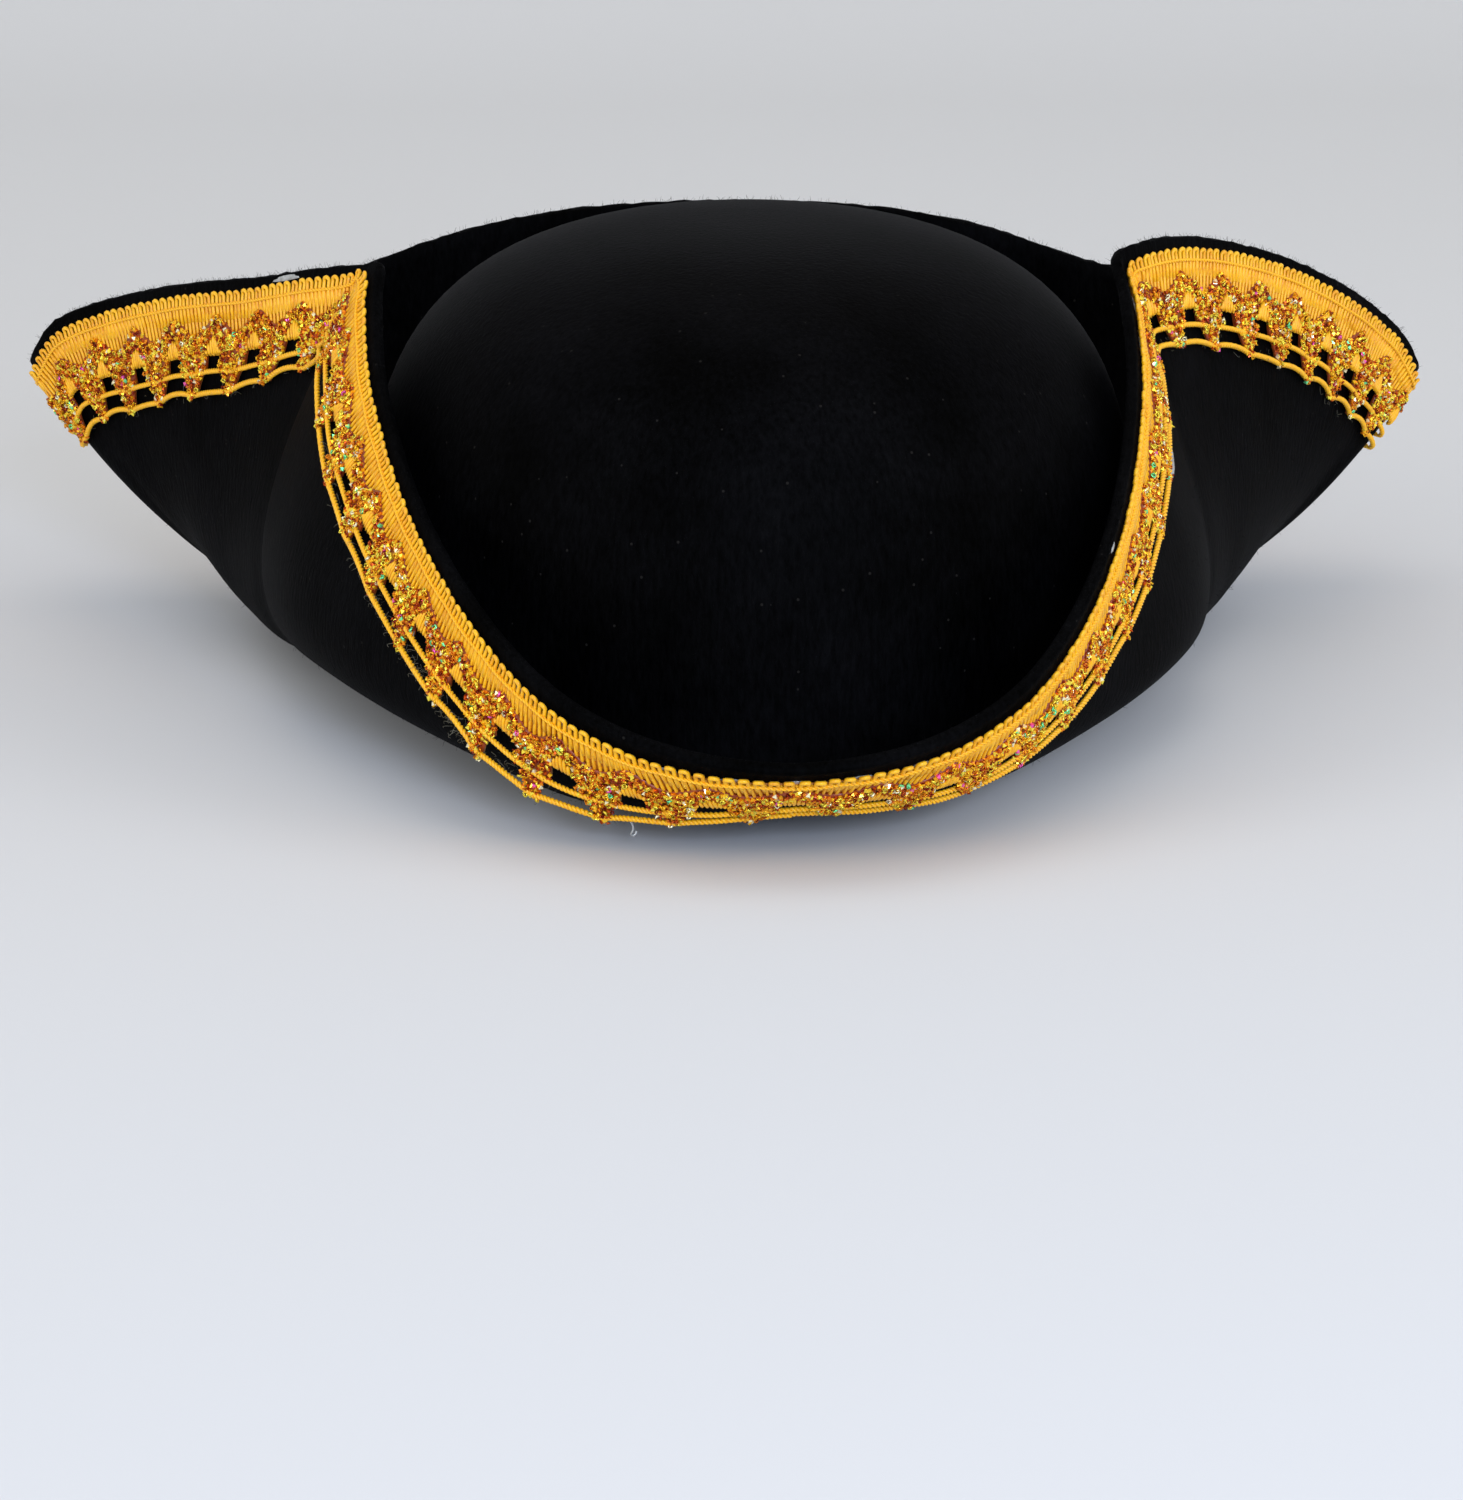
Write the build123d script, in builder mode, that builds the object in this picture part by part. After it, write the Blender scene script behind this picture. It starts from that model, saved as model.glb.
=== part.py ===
"""Felt tricorn pirate hat with a gold galloon along the brim, in millimetres.

Frame: the front spout points to -Y, +Z is up, and the origin is the centre of the head opening at the
lowest level of the crown's foot. Every brim section lies in a vertical plane through the Z axis. Its
azimuth is 0 at the front, 90 at a side and 180 at the back.
"""
from build123d import *
import math
import os
from typing import NamedTuple

# Crown
CROWN_HALF_WIDTH = 83.0
CROWN_HALF_LENGTH = 98.0
CROWN_HEIGHT = 102.5
CROWN_SQUARENESS = (2.6, 4.2)   # exponents of the dome's side outline, across and up
FELT = 2.5
FOOT_RISE = 10.0                # how far the brim's root climbs at the temples
FOOT_WAVE = 1.4                 # azimuth factor that puts the top of that climb in front of the side
ROOT_DEPTH = 0.5                # brim's root, inside the crown's inner face
ROOT_JOIN = 0.2                 # the crown's wall ends this far above the brim's root
SADDLE_OVERHANG = 12.0          # the saddle line runs on past both ends of the crown
STEEPEST = 0.4                  # least cosine used when the felt is thickened in a slanting section

# Galloon, as distances back from the rim
TRIM_GAP = 0.8                  # clear of the felt
BAND = (2.0, 9.6)
BAND_THICKNESS = 1.3
GIMP = (10.0, 14.6)
GIMP_THICKNESS = 1.6
BAR_SPAN = (15.8, 21.0)         # clear of the gimp strip where the felt bends
BAR_SIZE = (2.6, 1.2)
BAR_PITCH = 17.0
INNER_CORD = (17.4, 18.5)
OUTER_CORD = (21.4, 22.8)
CORD_THICKNESS = 1.3
CORD_STAND_OFF = 2.3            # the two cords cross above the bars

# Dabs of hot glue between the galloon and the felt
GLUE_DAB = (3.4, 6.0, 0.35)     # each dab under the band
GLUE_GAP = 0.3
GLUE_PITCH = 12.0
GLUE_DISTANCE = 5.8             # back from the rim, under the middle of the band
STRAY_DAB = (2.6, 11.0, 0.9)    # the dab that shows beside the galloon
STRAY_GAP = 0.4
STRAY_PLACE = 7.2               # along the right flap, below its fold
STRAY_DISTANCE = 26.0

# Ribbon inside the crown
RIBBON_HALF_WIDTH = 79.1
RIBBON_HALF_LENGTH = 93.4
RIBBON = 0.8
RIBBON_FOOT = 4.0               # lower edge above the crown's foot
RIBBON_HEIGHT = 30.0
STITCH_COUNT = 60
STITCH = (5.0, 0.5)
STITCH_HEIGHT = 3.0             # above the ribbon's lower edge

CREASE_PLACE = 9                # station of the fold in each side flap, where no bar or dab fits
TIP_PLACE = 16                  # station of each rear tip, where no dab fits

STEPS = 2                       # loft sections from one station to the next


class Station(NamedTuple):
    """One brim section: its rim point and how the profile runs there."""
    x: float
    y: float
    z: float
    reach: float            # how far the profile heads outward from the crown
    drop: float             # height of that first handle above the foot
    tail: float             # length of the last handle, at the rim
    slope: float            # direction at the rim: 90 is upright, more leans in to the crown


FRONT = Station(0, -148, 22, 26, 2, 16, 30)
RIGHT = [
    Station(18, -145, 23.5, 24, 2, 18, 40),
    Station(33, -136, 26.5, 21, 2, 22, 54),
    Station(46, -124, 32, 19, 2, 25, 66),
    Station(57, -106, 40, 19, 2, 27, 78),
    Station(66, -84, 49.5, 20, 2, 29, 89),
    Station(73, -58, 60, 22, 1, 33, 98),
    Station(78, -30, 74, 26, 0, 39, 104),
    Station(79, -8, 86.5, 30, -2, 45, 106),
    Station(78.5, 2, 92.5, 33, -3, 48, 107),
    Station(83, 8, 94, 37, -4, 50, 104),
    Station(94, 21, 93.5, 43, -5, 54, 100),
    Station(108, 37, 89.5, 48, -6, 56, 98),
    Station(126, 58, 81.5, 51, -6, 54, 92),
    Station(144, 77, 70.5, 51, -5, 44, 78),
    Station(157, 93, 59, 49, -4, 36, 64),
    Station(163, 102, 49, 46, -3, 30, 52),
    Station(154, 109, 58, 44, -3, 30, 58),
]
LEFT = [
    Station(18, -145, 23.5, 25, 2, 20, 46),
    Station(33, -136, 26.5, 23, 2, 23, 62),
    Station(46, -124, 32, 22, 2, 26, 80),
    Station(57, -106, 40, 22, 2, 28, 98),
    Station(66, -84, 49.5, 23, 2, 31, 110),
    Station(73, -58, 60, 25, 1, 35, 118),
    Station(78, -30, 74, 29, 0, 40, 122),
    Station(79, -8, 86.5, 33, -2, 46, 122),
    Station(78.5, 2, 92.5, 36, -3, 48, 122),
    Station(82, 7, 91.5, 38, -4, 50, 112),
    Station(92, 18, 89, 43, -5, 54, 104),
    Station(106, 36, 84, 48, -6, 54, 98),
    Station(123, 57, 79, 51, -6, 52, 92),
    Station(141, 78, 72, 51, -5, 44, 78),
    Station(154, 92, 64.5, 49, -4, 36, 64),
    Station(160, 102, 54, 46, -3, 30, 52),
    Station(152, 109, 60, 44, -3, 30, 58),
]
BACK = [
    Station(138, 111, 64, 40, -2, 34, 70),
    Station(112, 109, 68.5, 36, -2, 38, 82),
    Station(88, 107, 73, 32, -1, 42, 92),
    Station(60, 105, 82.5, 28, -1, 46, 97),
    Station(32, 104.5, 87.5, 26, 0, 48, 99),
    Station(0, 104, 89, 25, 0, 50, 100),
]


def crown_radius(azimuth):
    """Radius of the crown's outer face at the foot."""
    return 1 / math.hypot(math.sin(azimuth) / CROWN_HALF_WIDTH, math.cos(azimuth) / CROWN_HALF_LENGTH)


def foot_height(azimuth):
    """Height of the crown's foot, a saddle that is highest at the temples."""
    return FOOT_RISE * math.sin(min(FOOT_WAVE * azimuth, math.pi)) ** 2


def blend(rows, place):
    """Catmull-Rom value between the stations of one half, which mirror past both of its ends."""
    index = min(int(place), len(rows) - 2)
    share = place - index
    before = rows[index - 1] if index else rows[1]._replace(x=-rows[1].x)
    after = rows[index + 2] if index + 2 < len(rows) else rows[-2]._replace(x=-rows[-2].x)
    values = []
    for a, b, c, d in zip(before, rows[index], rows[index + 1], after):
        cubic = (c - a) * share + (2 * a - 5 * b + 4 * c - d) * share**2 + (3 * b - a - 3 * c + d) * share**3
        values.append(b + cubic / 2)
    return Station(*values)


def azimuth_of(station):
    return math.atan2(station.x, -station.y)


def profile_handles(station):
    """Bezier points (radius, height) of the felt's middle in its section plane, from root to rim."""
    azimuth = azimuth_of(station)
    foot = foot_height(azimuth) + FELT / 2
    root = crown_radius(azimuth)
    rim = math.hypot(station.x, station.y)
    slope = math.radians(station.slope)
    return (
        (root - FELT - ROOT_DEPTH, foot),
        (root + station.reach, foot + station.drop),
        (rim - station.tail * math.cos(slope), station.z - station.tail * math.sin(slope)),
        (rim, station.z),
    )


def profile_point(station, share):
    """Middle of the felt as (radius, height); share 0 is the root, 1 the rim."""
    handles = profile_handles(station)
    rest = 1 - share
    weights = (rest**3, 3 * share * rest**2, 3 * share**2 * rest, share**3)
    return tuple(sum(w * handle[i] for w, handle in zip(weights, handles)) for i in (0, 1))


def share_at(station, distance):
    """Share of the profile that lies the given distance back from the rim."""
    step = 0.005
    share = 1.0
    here = profile_point(station, share)
    while distance > 0:
        share -= step
        there = profile_point(station, share)
        distance -= math.dist(here, there)
        here = there
    return share


class Half:
    """One half of the brim, from the front centre (place 0) to the back centre."""

    def __init__(self, side, rows):
        self.side = side
        self.rows = [FRONT] + rows + BACK
        self.last = len(self.rows) - 1

    def station(self, place):
        return blend(self.rows, place)

    def spread(self, station, radius, height):
        """Point in space for a radius and height in a station's plane."""
        azimuth = azimuth_of(station)
        return Vector(self.side * radius * math.sin(azimuth), -radius * math.cos(azimuth), height)

    def middle(self, place, share):
        station = self.station(place)
        return self.spread(station, *profile_point(station, share))

    def frame(self, place, share):
        """Point on the felt's middle, its direction up the profile and the normal to the underside."""
        nudge = 0.002
        low, high = max(share - nudge, 0), min(share + nudge, 1)
        before, after = max(place - nudge, 0), min(place + nudge, self.last)
        upward = (self.middle(place, high) - self.middle(place, low)).normalized()
        along = self.middle(after, share) - self.middle(before, share)
        normal = upward.cross(along).normalized() * -self.side
        return self.middle(place, share), upward, normal

    def felt_offset(self, place, share, offset):
        """Shift (radius, height) in the section plane that moves the sheet by an offset square to it."""
        _, upward, normal = self.frame(place, share)
        radial = self.spread(self.station(place), 1, 0)
        beside = (upward.dot(Vector(0, 0, 1)), -upward.dot(radial))
        in_plane = radial * beside[0] + Vector(0, 0, beside[1])
        reach = offset / max(abs(in_plane.dot(normal)), STEEPEST)
        return (reach * beside[0], reach * beside[1])

    def felt_face(self, place, offset):
        """Bezier curve of one face of the felt in a section."""
        handles = profile_handles(self.station(place))
        shifts = [self.felt_offset(place, index / 3, offset) for index in range(4)]
        return Bezier(*[(r + dr, z + dz) for (r, z), (dr, dz) in zip(handles, shifts)])

    def section_plane(self, place):
        """Vertical plane through the Z axis: local x is the radius, local y the height."""
        azimuth = azimuth_of(self.station(place))
        outward = (self.side * math.sin(azimuth), -math.cos(azimuth), 0)
        return Plane(origin=(0, 0, 0), x_dir=outward, z_dir=(outward[1], -outward[0], 0))

    def places(self):
        return [step / STEPS for step in range(self.last * STEPS + 1)]

    def places_along_rim(self, pitch):
        """Places one pitch apart along the rim, the first half a pitch from the front centre."""
        fine = [self.last * i / 2000 for i in range(2001)]
        found = []
        travelled = pitch / 2
        for here, there in zip(fine, fine[1:]):
            travelled += (self.middle(there, 1) - self.middle(here, 1)).length
            if travelled >= pitch:
                found.append(here)
                travelled -= pitch
        return found


def felt_sections(half):
    """Sections of the felt: outer and inner curve with the root and the cut edge as short lines."""
    sections = []
    for place in half.places():
        with BuildSketch(half.section_plane(place)) as section:
            with BuildLine():
                outside = half.felt_face(place, FELT / 2)
                inside = half.felt_face(place, -FELT / 2)
                Line(outside @ 1, inside @ 1)
                Line(inside @ 0, outside @ 0)
            make_face()
        sections.append(section.sketch)
    return sections


def strip_sections(half, distances, gap, thickness):
    """Sections of a strip on the underside, square to the felt, between two distances from the rim."""
    sections = []
    middle = sum(distances) / 2
    width = distances[1] - distances[0]
    for place in half.places():
        share = share_at(half.station(place), middle)
        point, upward, normal = half.frame(place, share)
        centre = point + normal * (FELT / 2 + gap + thickness / 2)
        with BuildSketch(Plane(centre, x_dir=upward, z_dir=upward.cross(normal))) as section:
            Rectangle(width, thickness)
        sections.append(section.sketch)
    return sections


def saddle_outline(low, high):
    """Region seen from the side between two heights above the crown's foot line."""
    azimuths = [math.pi * i / 16 for i in range(17)]
    foot = [(-crown_radius(a) * math.cos(a), foot_height(a)) for a in azimuths]
    foot = [(-CROWN_HALF_LENGTH - SADDLE_OVERHANG, 0), *foot, (CROWN_HALF_LENGTH + SADDLE_OVERHANG, 0)]
    bottom = Spline(*[(y, z + low) for y, z in foot])
    top = Spline(*[(y, z + high) for y, z in foot])
    Line(bottom @ 0, top @ 0)
    Line(bottom @ 1, top @ 1)


def dome_curve(inset):
    """Quarter outline of the crown from the top to the foot, drawn as a superellipse."""
    across, up = CROWN_SQUARENESS
    half_width, height = CROWN_HALF_WIDTH - inset, CROWN_HEIGHT - inset
    turns = [math.pi / 2 * i / 14 for i in range(15)]
    return Spline(
        *[(half_width * math.sin(t) ** (2 / across), height * abs(math.cos(t)) ** (2 / up)) for t in turns[:-1]],
        (half_width, 0),
        tangents=((1, 0), (0, -1)),
    )


def save(part, name):
    part.label = name
    export_step(part, f"parts/{name}.step")


os.makedirs("parts", exist_ok=True)
HALVES = [Half(1, RIGHT), Half(-1, LEFT)]

# Crown and brim are one moulded sheet, kept as two solids that meet at the saddle line of the foot.
# The crown is worked as a round dome and stretched to the oval of a head.
with BuildPart() as felt_crown:
    with BuildSketch(Plane.XZ):
        with BuildLine():
            outer = dome_curve(0)
            inner = dome_curve(FELT)
            Line(outer @ 0, inner @ 0)
            Line(outer @ 1, inner @ 1)
        make_face()
    revolve(axis=Axis.Z)
    scale(by=(1, CROWN_HALF_LENGTH / CROWN_HALF_WIDTH, 1))
    with BuildSketch(Plane.YZ):
        with BuildLine():
            saddle_outline(-CROWN_HEIGHT, FELT + ROOT_JOIN)
        make_face()
    extrude(amount=CROWN_HALF_LENGTH, both=True, mode=Mode.SUBTRACT)

save(felt_crown.part, "felt_crown")

with BuildPart() as felt_brim:
    for half in HALVES:
        loft(felt_sections(half))
save(felt_brim.part, "felt_brim")

# Galloon: woven band, glitter gimp with its cross bars, and two cords.
with BuildPart() as trim_band:
    for half in HALVES:
        loft(strip_sections(half, BAND, TRIM_GAP, BAND_THICKNESS))
save(trim_band.part, "trim_band")

with BuildPart() as trim_gimp:
    for half in HALVES:
        loft(strip_sections(half, GIMP, TRIM_GAP, GIMP_THICKNESS))
    for half in HALVES:
        for place in half.places_along_rim(BAR_PITCH):
            if abs(place - CREASE_PLACE) < 1:
                continue
            share = share_at(half.station(place), sum(BAR_SPAN) / 2)
            point, upward, normal = half.frame(place, share)
            foot = point + normal * (FELT / 2 + TRIM_GAP)
            with BuildSketch(Plane(foot, x_dir=upward, z_dir=normal)):
                Rectangle(BAR_SPAN[1] - BAR_SPAN[0], BAR_SIZE[0])
            extrude(amount=BAR_SIZE[1])
save(trim_gimp.part, "trim_gimp")

for cord_name, distances in (("trim_inner_cord", INNER_CORD), ("trim_outer_cord", OUTER_CORD)):
    with BuildPart() as cord:
        for half in HALVES:
            loft(strip_sections(half, distances, CORD_STAND_OFF, CORD_THICKNESS))
    save(cord.part, cord_name)

# Dabs of hot glue under the band, and one that shows beside the galloon on the right flap.
with BuildPart() as trim_glue:
    for half in HALVES:
        for place in half.places_along_rim(GLUE_PITCH):
            if abs(place - CREASE_PLACE) < 1 or abs(place - TIP_PLACE) < 1:
                continue
            share = share_at(half.station(place), GLUE_DISTANCE)
            point, upward, normal = half.frame(place, share)
            with BuildSketch(Plane(point + normal * (FELT / 2 + GLUE_GAP), x_dir=upward, z_dir=normal)):
                Ellipse(GLUE_DAB[0] / 2, GLUE_DAB[1] / 2)
            extrude(amount=GLUE_DAB[2])
    right = HALVES[0]
    share = share_at(right.station(STRAY_PLACE), STRAY_DISTANCE)
    point, upward, normal = right.frame(STRAY_PLACE, share)
    with BuildSketch(Plane(point + normal * (FELT / 2 + STRAY_GAP), x_dir=upward, z_dir=normal)):
        Ellipse(STRAY_DAB[0] / 2, STRAY_DAB[1] / 2)
    extrude(amount=STRAY_DAB[2])
save(trim_glue.part, "trim_glue")

# Ribbon inside the crown, cut to the saddle line of the foot.
with BuildPart() as sweatband:
    with BuildSketch():
        Ellipse(RIBBON_HALF_WIDTH, RIBBON_HALF_LENGTH)
        Ellipse(RIBBON_HALF_WIDTH - RIBBON, RIBBON_HALF_LENGTH - RIBBON, mode=Mode.SUBTRACT)
    extrude(amount=CROWN_HEIGHT / 2)
    with BuildSketch(Plane.YZ):
        with BuildLine():
            saddle_outline(RIBBON_FOOT, RIBBON_FOOT + RIBBON_HEIGHT)
        make_face()
    extrude(amount=CROWN_HALF_LENGTH, both=True, mode=Mode.INTERSECT)
save(sweatband.part, "sweatband")

# Running stitches near the ribbon's lower edge, on its inner face.
with BuildPart() as sweatband_stitching:
    for index in range(STITCH_COUNT):
        turn = 2 * math.pi * index / STITCH_COUNT
        inset = RIBBON + STITCH[1]
        x = (RIBBON_HALF_WIDTH - inset) * math.sin(turn)
        y = -(RIBBON_HALF_LENGTH - inset) * math.cos(turn)
        height = foot_height(abs(math.atan2(x, -y))) + RIBBON_FOOT + STITCH_HEIGHT
        inward = Vector(-x / RIBBON_HALF_WIDTH**2, -y / RIBBON_HALF_LENGTH**2, 0)
        with BuildSketch(Plane((x, y, height), x_dir=(0, 0, 1), z_dir=inward)):
            Rectangle(STITCH[1], STITCH[0])
        extrude(amount=STITCH[1])
save(sweatband_stitching.part, "sweatband_stitching")

for piece in (felt_crown, felt_brim, trim_band, trim_gimp, trim_glue, sweatband, sweatband_stitching):
    print(piece.part.label, len(piece.part.solids()), round(piece.part.volume), piece.part.is_valid)
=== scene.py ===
"""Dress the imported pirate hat: felt hood, gold galloon, glue, sweatband, stage, light and camera."""

import logging
import math
from dataclasses import dataclass, field
from enum import Enum

import bmesh
import bpy
import numpy as np
from mathutils import Matrix, Vector


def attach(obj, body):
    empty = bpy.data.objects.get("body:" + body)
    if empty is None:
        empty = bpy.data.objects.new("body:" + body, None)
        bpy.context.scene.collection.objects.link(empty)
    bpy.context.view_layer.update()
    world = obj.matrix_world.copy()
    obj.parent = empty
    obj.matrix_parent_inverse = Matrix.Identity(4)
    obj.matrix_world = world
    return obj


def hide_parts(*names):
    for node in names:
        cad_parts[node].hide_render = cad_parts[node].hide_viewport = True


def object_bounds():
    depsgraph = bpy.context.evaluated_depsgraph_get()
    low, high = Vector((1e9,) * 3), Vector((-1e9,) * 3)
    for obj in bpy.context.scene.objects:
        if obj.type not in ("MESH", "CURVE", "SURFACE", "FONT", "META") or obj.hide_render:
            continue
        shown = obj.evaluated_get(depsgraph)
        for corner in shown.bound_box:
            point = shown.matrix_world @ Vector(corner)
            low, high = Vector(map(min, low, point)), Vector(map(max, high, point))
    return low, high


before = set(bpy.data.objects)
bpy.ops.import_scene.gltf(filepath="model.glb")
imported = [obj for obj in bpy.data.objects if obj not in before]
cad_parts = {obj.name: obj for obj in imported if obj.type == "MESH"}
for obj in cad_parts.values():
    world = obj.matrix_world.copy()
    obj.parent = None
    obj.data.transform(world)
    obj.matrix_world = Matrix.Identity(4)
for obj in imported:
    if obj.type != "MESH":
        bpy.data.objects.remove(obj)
CAD_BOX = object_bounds()

Array = np.ndarray
Piece = bpy.types.Object
Material = bpy.types.Material
Tree = bpy.types.NodeTree
Node = bpy.types.Node
Socket = bpy.types.NodeSocket

LOG = logging.getLogger("pirate_hat")
MM = 0.001
BODY = "root"
FELT = 2.5
CROWN_HALF_WIDTH, CROWN_HALF_LENGTH, CROWN_HEIGHT = 83.0, 98.0, 102.5
CROWN_SQUARENESS = (2.6, 4.2)
FOOT_RISE, FOOT_WAVE = 10.0, 1.4


class Slot(Enum):
    """Material slots of the record."""

    FELT = "felt"
    YARN = "gold_yarn"
    GIMP = "glitter_gimp"
    GLUE = "hot_glue"
    RIBBON = "ribbon"
    THREAD = "thread"


# ---------------------------------------------------------------- shape of the brim

# Rim point (x, y, z), reach, drop, tail and slope of each brim section, in millimetres and degrees.
FRONT = (0, -148, 22, 26, 2, 16, 30)
RIGHT = [
    (18, -145, 23.5, 24, 2, 18, 40), (33, -136, 26.5, 21, 2, 22, 54), (46, -124, 32, 19, 2, 25, 66),
    (57, -106, 40, 19, 2, 27, 78), (66, -84, 49.5, 20, 2, 29, 89), (73, -58, 60, 22, 1, 33, 98),
    (78, -30, 74, 26, 0, 39, 104), (79, -8, 86.5, 30, -2, 45, 106), (78.5, 2, 92.5, 33, -3, 48, 107),
    (83, 8, 94, 37, -4, 50, 104), (94, 21, 93.5, 43, -5, 54, 100), (108, 37, 89.5, 48, -6, 56, 98),
    (126, 58, 81.5, 51, -6, 54, 92), (144, 77, 70.5, 51, -5, 44, 78), (157, 93, 59, 49, -4, 36, 64),
    (163, 102, 49, 46, -3, 30, 52), (154, 109, 58, 44, -3, 30, 58),
]
LEFT = [
    (18, -145, 23.5, 25, 2, 20, 46), (33, -136, 26.5, 23, 2, 23, 62), (46, -124, 32, 22, 2, 26, 80),
    (57, -106, 40, 22, 2, 28, 98), (66, -84, 49.5, 23, 2, 31, 110), (73, -58, 60, 25, 1, 35, 118),
    (78, -30, 74, 29, 0, 40, 122), (79, -8, 86.5, 33, -2, 46, 122), (78.5, 2, 92.5, 36, -3, 48, 122),
    (82, 7, 91.5, 38, -4, 50, 112), (92, 18, 89, 43, -5, 54, 104), (106, 36, 84, 48, -6, 54, 98),
    (123, 57, 79, 51, -6, 52, 92), (141, 78, 72, 51, -5, 44, 78), (154, 92, 64.5, 49, -4, 36, 64),
    (160, 102, 54, 46, -3, 30, 52), (152, 109, 60, 44, -3, 30, 58),
]
BACK = [
    (138, 111, 64, 40, -2, 34, 70), (112, 109, 68.5, 36, -2, 38, 82), (88, 107, 73, 32, -1, 42, 92),
    (60, 105, 82.5, 28, -1, 46, 97), (32, 104.5, 87.5, 26, 0, 48, 99), (0, 104, 89, 25, 0, 50, 100),
]


def crown_radius(azimuth: Array) -> Array:
    """Give the radius of the crown's outer face at its foot.

    Args:
        azimuth: Angle about the hat's upright axis, 0 at the front, in radians.

    Returns:
        The radius in millimetres.
    """
    return 1 / np.hypot(np.sin(azimuth) / CROWN_HALF_WIDTH, np.cos(azimuth) / CROWN_HALF_LENGTH)


def foot_height(azimuth: Array) -> Array:
    """Give the height of the crown's foot, a saddle that is highest at the temples.

    Args:
        azimuth: Angle about the upright axis from the front, 0 to pi.

    Returns:
        The height in millimetres.
    """
    return FOOT_RISE * np.sin(np.minimum(FOOT_WAVE * azimuth, math.pi)) ** 2


@dataclass
class Brim:
    """Middle surface of the cocked brim.

    A lap of 0 to 1 runs from the front centre to the back centre by the right side, and 1 to 2 comes
    back to the front by the left side. A share of 0 is the crown's foot and 1 the rim.
    """

    rim_samples: int = 4000
    profile_samples: int = 60
    halves: dict[int, Array] = field(default_factory=dict)
    laps: Array = field(default_factory=lambda: np.zeros(0))
    travel: Array = field(default_factory=lambda: np.zeros(0))

    def __post_init__(self) -> None:
        """Store the sections of both halves and measure the rim."""
        for side, rows in ((1, RIGHT), (-1, LEFT)):
            inner = np.array([FRONT, *rows, *BACK], float)
            flip = np.array([-1, 1, 1, 1, 1, 1, 1])
            self.halves[side] = np.vstack([inner[1] * flip, inner, inner[-2] * flip])
        self.laps = np.linspace(0, 2, self.rim_samples + 1)
        rim = self.middle(self.laps, np.ones_like(self.laps))
        steps = np.linalg.norm(np.diff(rim, axis=0), axis=1)
        self.travel = np.concatenate([[0], np.cumsum(steps)])

    @property
    def rim_length(self) -> float:
        """Length of the whole rim in millimetres."""
        return float(self.travel[-1])

    def lap_at(self, distance: Array) -> Array:
        """Turn distances along the rim into laps.

        Args:
            distance: Millimetres along the rim from the front centre; any value wraps.

        Returns:
            The laps.
        """
        return np.interp(np.mod(distance, self.rim_length), self.travel, self.laps)

    def sections(self, lap: Array) -> tuple[Array, Array]:
        """Blend the stations with a Catmull-Rom curve.

        Args:
            lap: Laps of the wanted sections.

        Returns:
            The side of each section (1 right, -1 left) and its seven values.
        """
        lap = np.mod(np.asarray(lap, float), 2)
        side = np.where(lap <= 1, 1, -1)
        values = np.empty((len(lap), 7))
        for sign, rows in self.halves.items():
            chosen = side == sign
            last = len(rows) - 3
            place = np.where(lap <= 1, lap, 2 - lap)[chosen] * last
            index = np.minimum(place.astype(int), last - 1)
            share = (place - index)[:, None]
            a, b, c, d = (rows[index + shift] for shift in range(4))
            cubic = (c - a) * share + (2 * a - 5 * b + 4 * c - d) * share**2
            cubic += (3 * b - a - 3 * c + d) * share**3
            values[chosen] = b + cubic / 2
        return side, values

    def middle(self, lap: Array, share: Array) -> Array:
        """Place points on the felt's middle surface.

        Args:
            lap: Where round the brim, one value a point.
            share: How far out from foot to rim, one value a point.

        Returns:
            Points in millimetres, one row each.
        """
        side, values = self.sections(lap)
        x, y, z, reach, drop, tail, slope = values.T
        azimuth = np.arctan2(x, -y)
        foot = foot_height(np.abs(azimuth)) + FELT / 2
        root = crown_radius(azimuth)
        rim = np.hypot(x, y)
        slope = np.radians(slope)
        radii = (root - FELT, root + reach, rim - tail * np.cos(slope), rim)
        heights = (foot, foot + drop, z - tail * np.sin(slope), z)
        rest = 1 - share
        weights = (rest**3, 3 * share * rest**2, 3 * share**2 * rest, share**3)
        radius = sum(w * r for w, r in zip(weights, radii))
        height = sum(w * h for w, h in zip(weights, heights))
        return np.stack([side * radius * np.sin(azimuth), -radius * np.cos(azimuth), height], 1)

    def frames(self, lap: Array, share: Array) -> tuple[Array, Array, Array, Array]:
        """Find local directions on the middle surface.

        Args:
            lap: Where round the brim, one value a point.
            share: How far out from foot to rim, one value a point.

        Returns:
            Points, directions along the rim, directions up to the rim, and normals to the underside.
        """
        nudge = 0.0006
        low, high = np.clip(share - nudge, 0, 1), np.clip(share + nudge, 0, 1)
        along = unit(self.middle(lap + nudge, share) - self.middle(lap - nudge, share))
        upward = unit(self.middle(lap, high) - self.middle(lap, low))
        normal = unit(np.cross(along, upward))
        return self.middle(lap, share), along, unit(np.cross(normal, along)), normal

    def share_at(self, lap: Array, distance: Array) -> Array:
        """Find the share that lies a distance back from the rim.

        Args:
            lap: Where round the brim, one value a point.
            distance: Millimetres back from the rim along the felt, one value a point.

        Returns:
            The shares.
        """
        grid = np.linspace(1, 0.3, self.profile_samples)
        points = np.stack([self.middle(lap, np.full(len(lap), share)) for share in grid], 1)
        steps = np.linalg.norm(np.diff(points, axis=1), axis=2)
        travel = np.concatenate([np.zeros((len(lap), 1)), np.cumsum(steps, 1)], 1)
        return np.array([np.interp(d, row, grid) for d, row in zip(distance, travel)])

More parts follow.
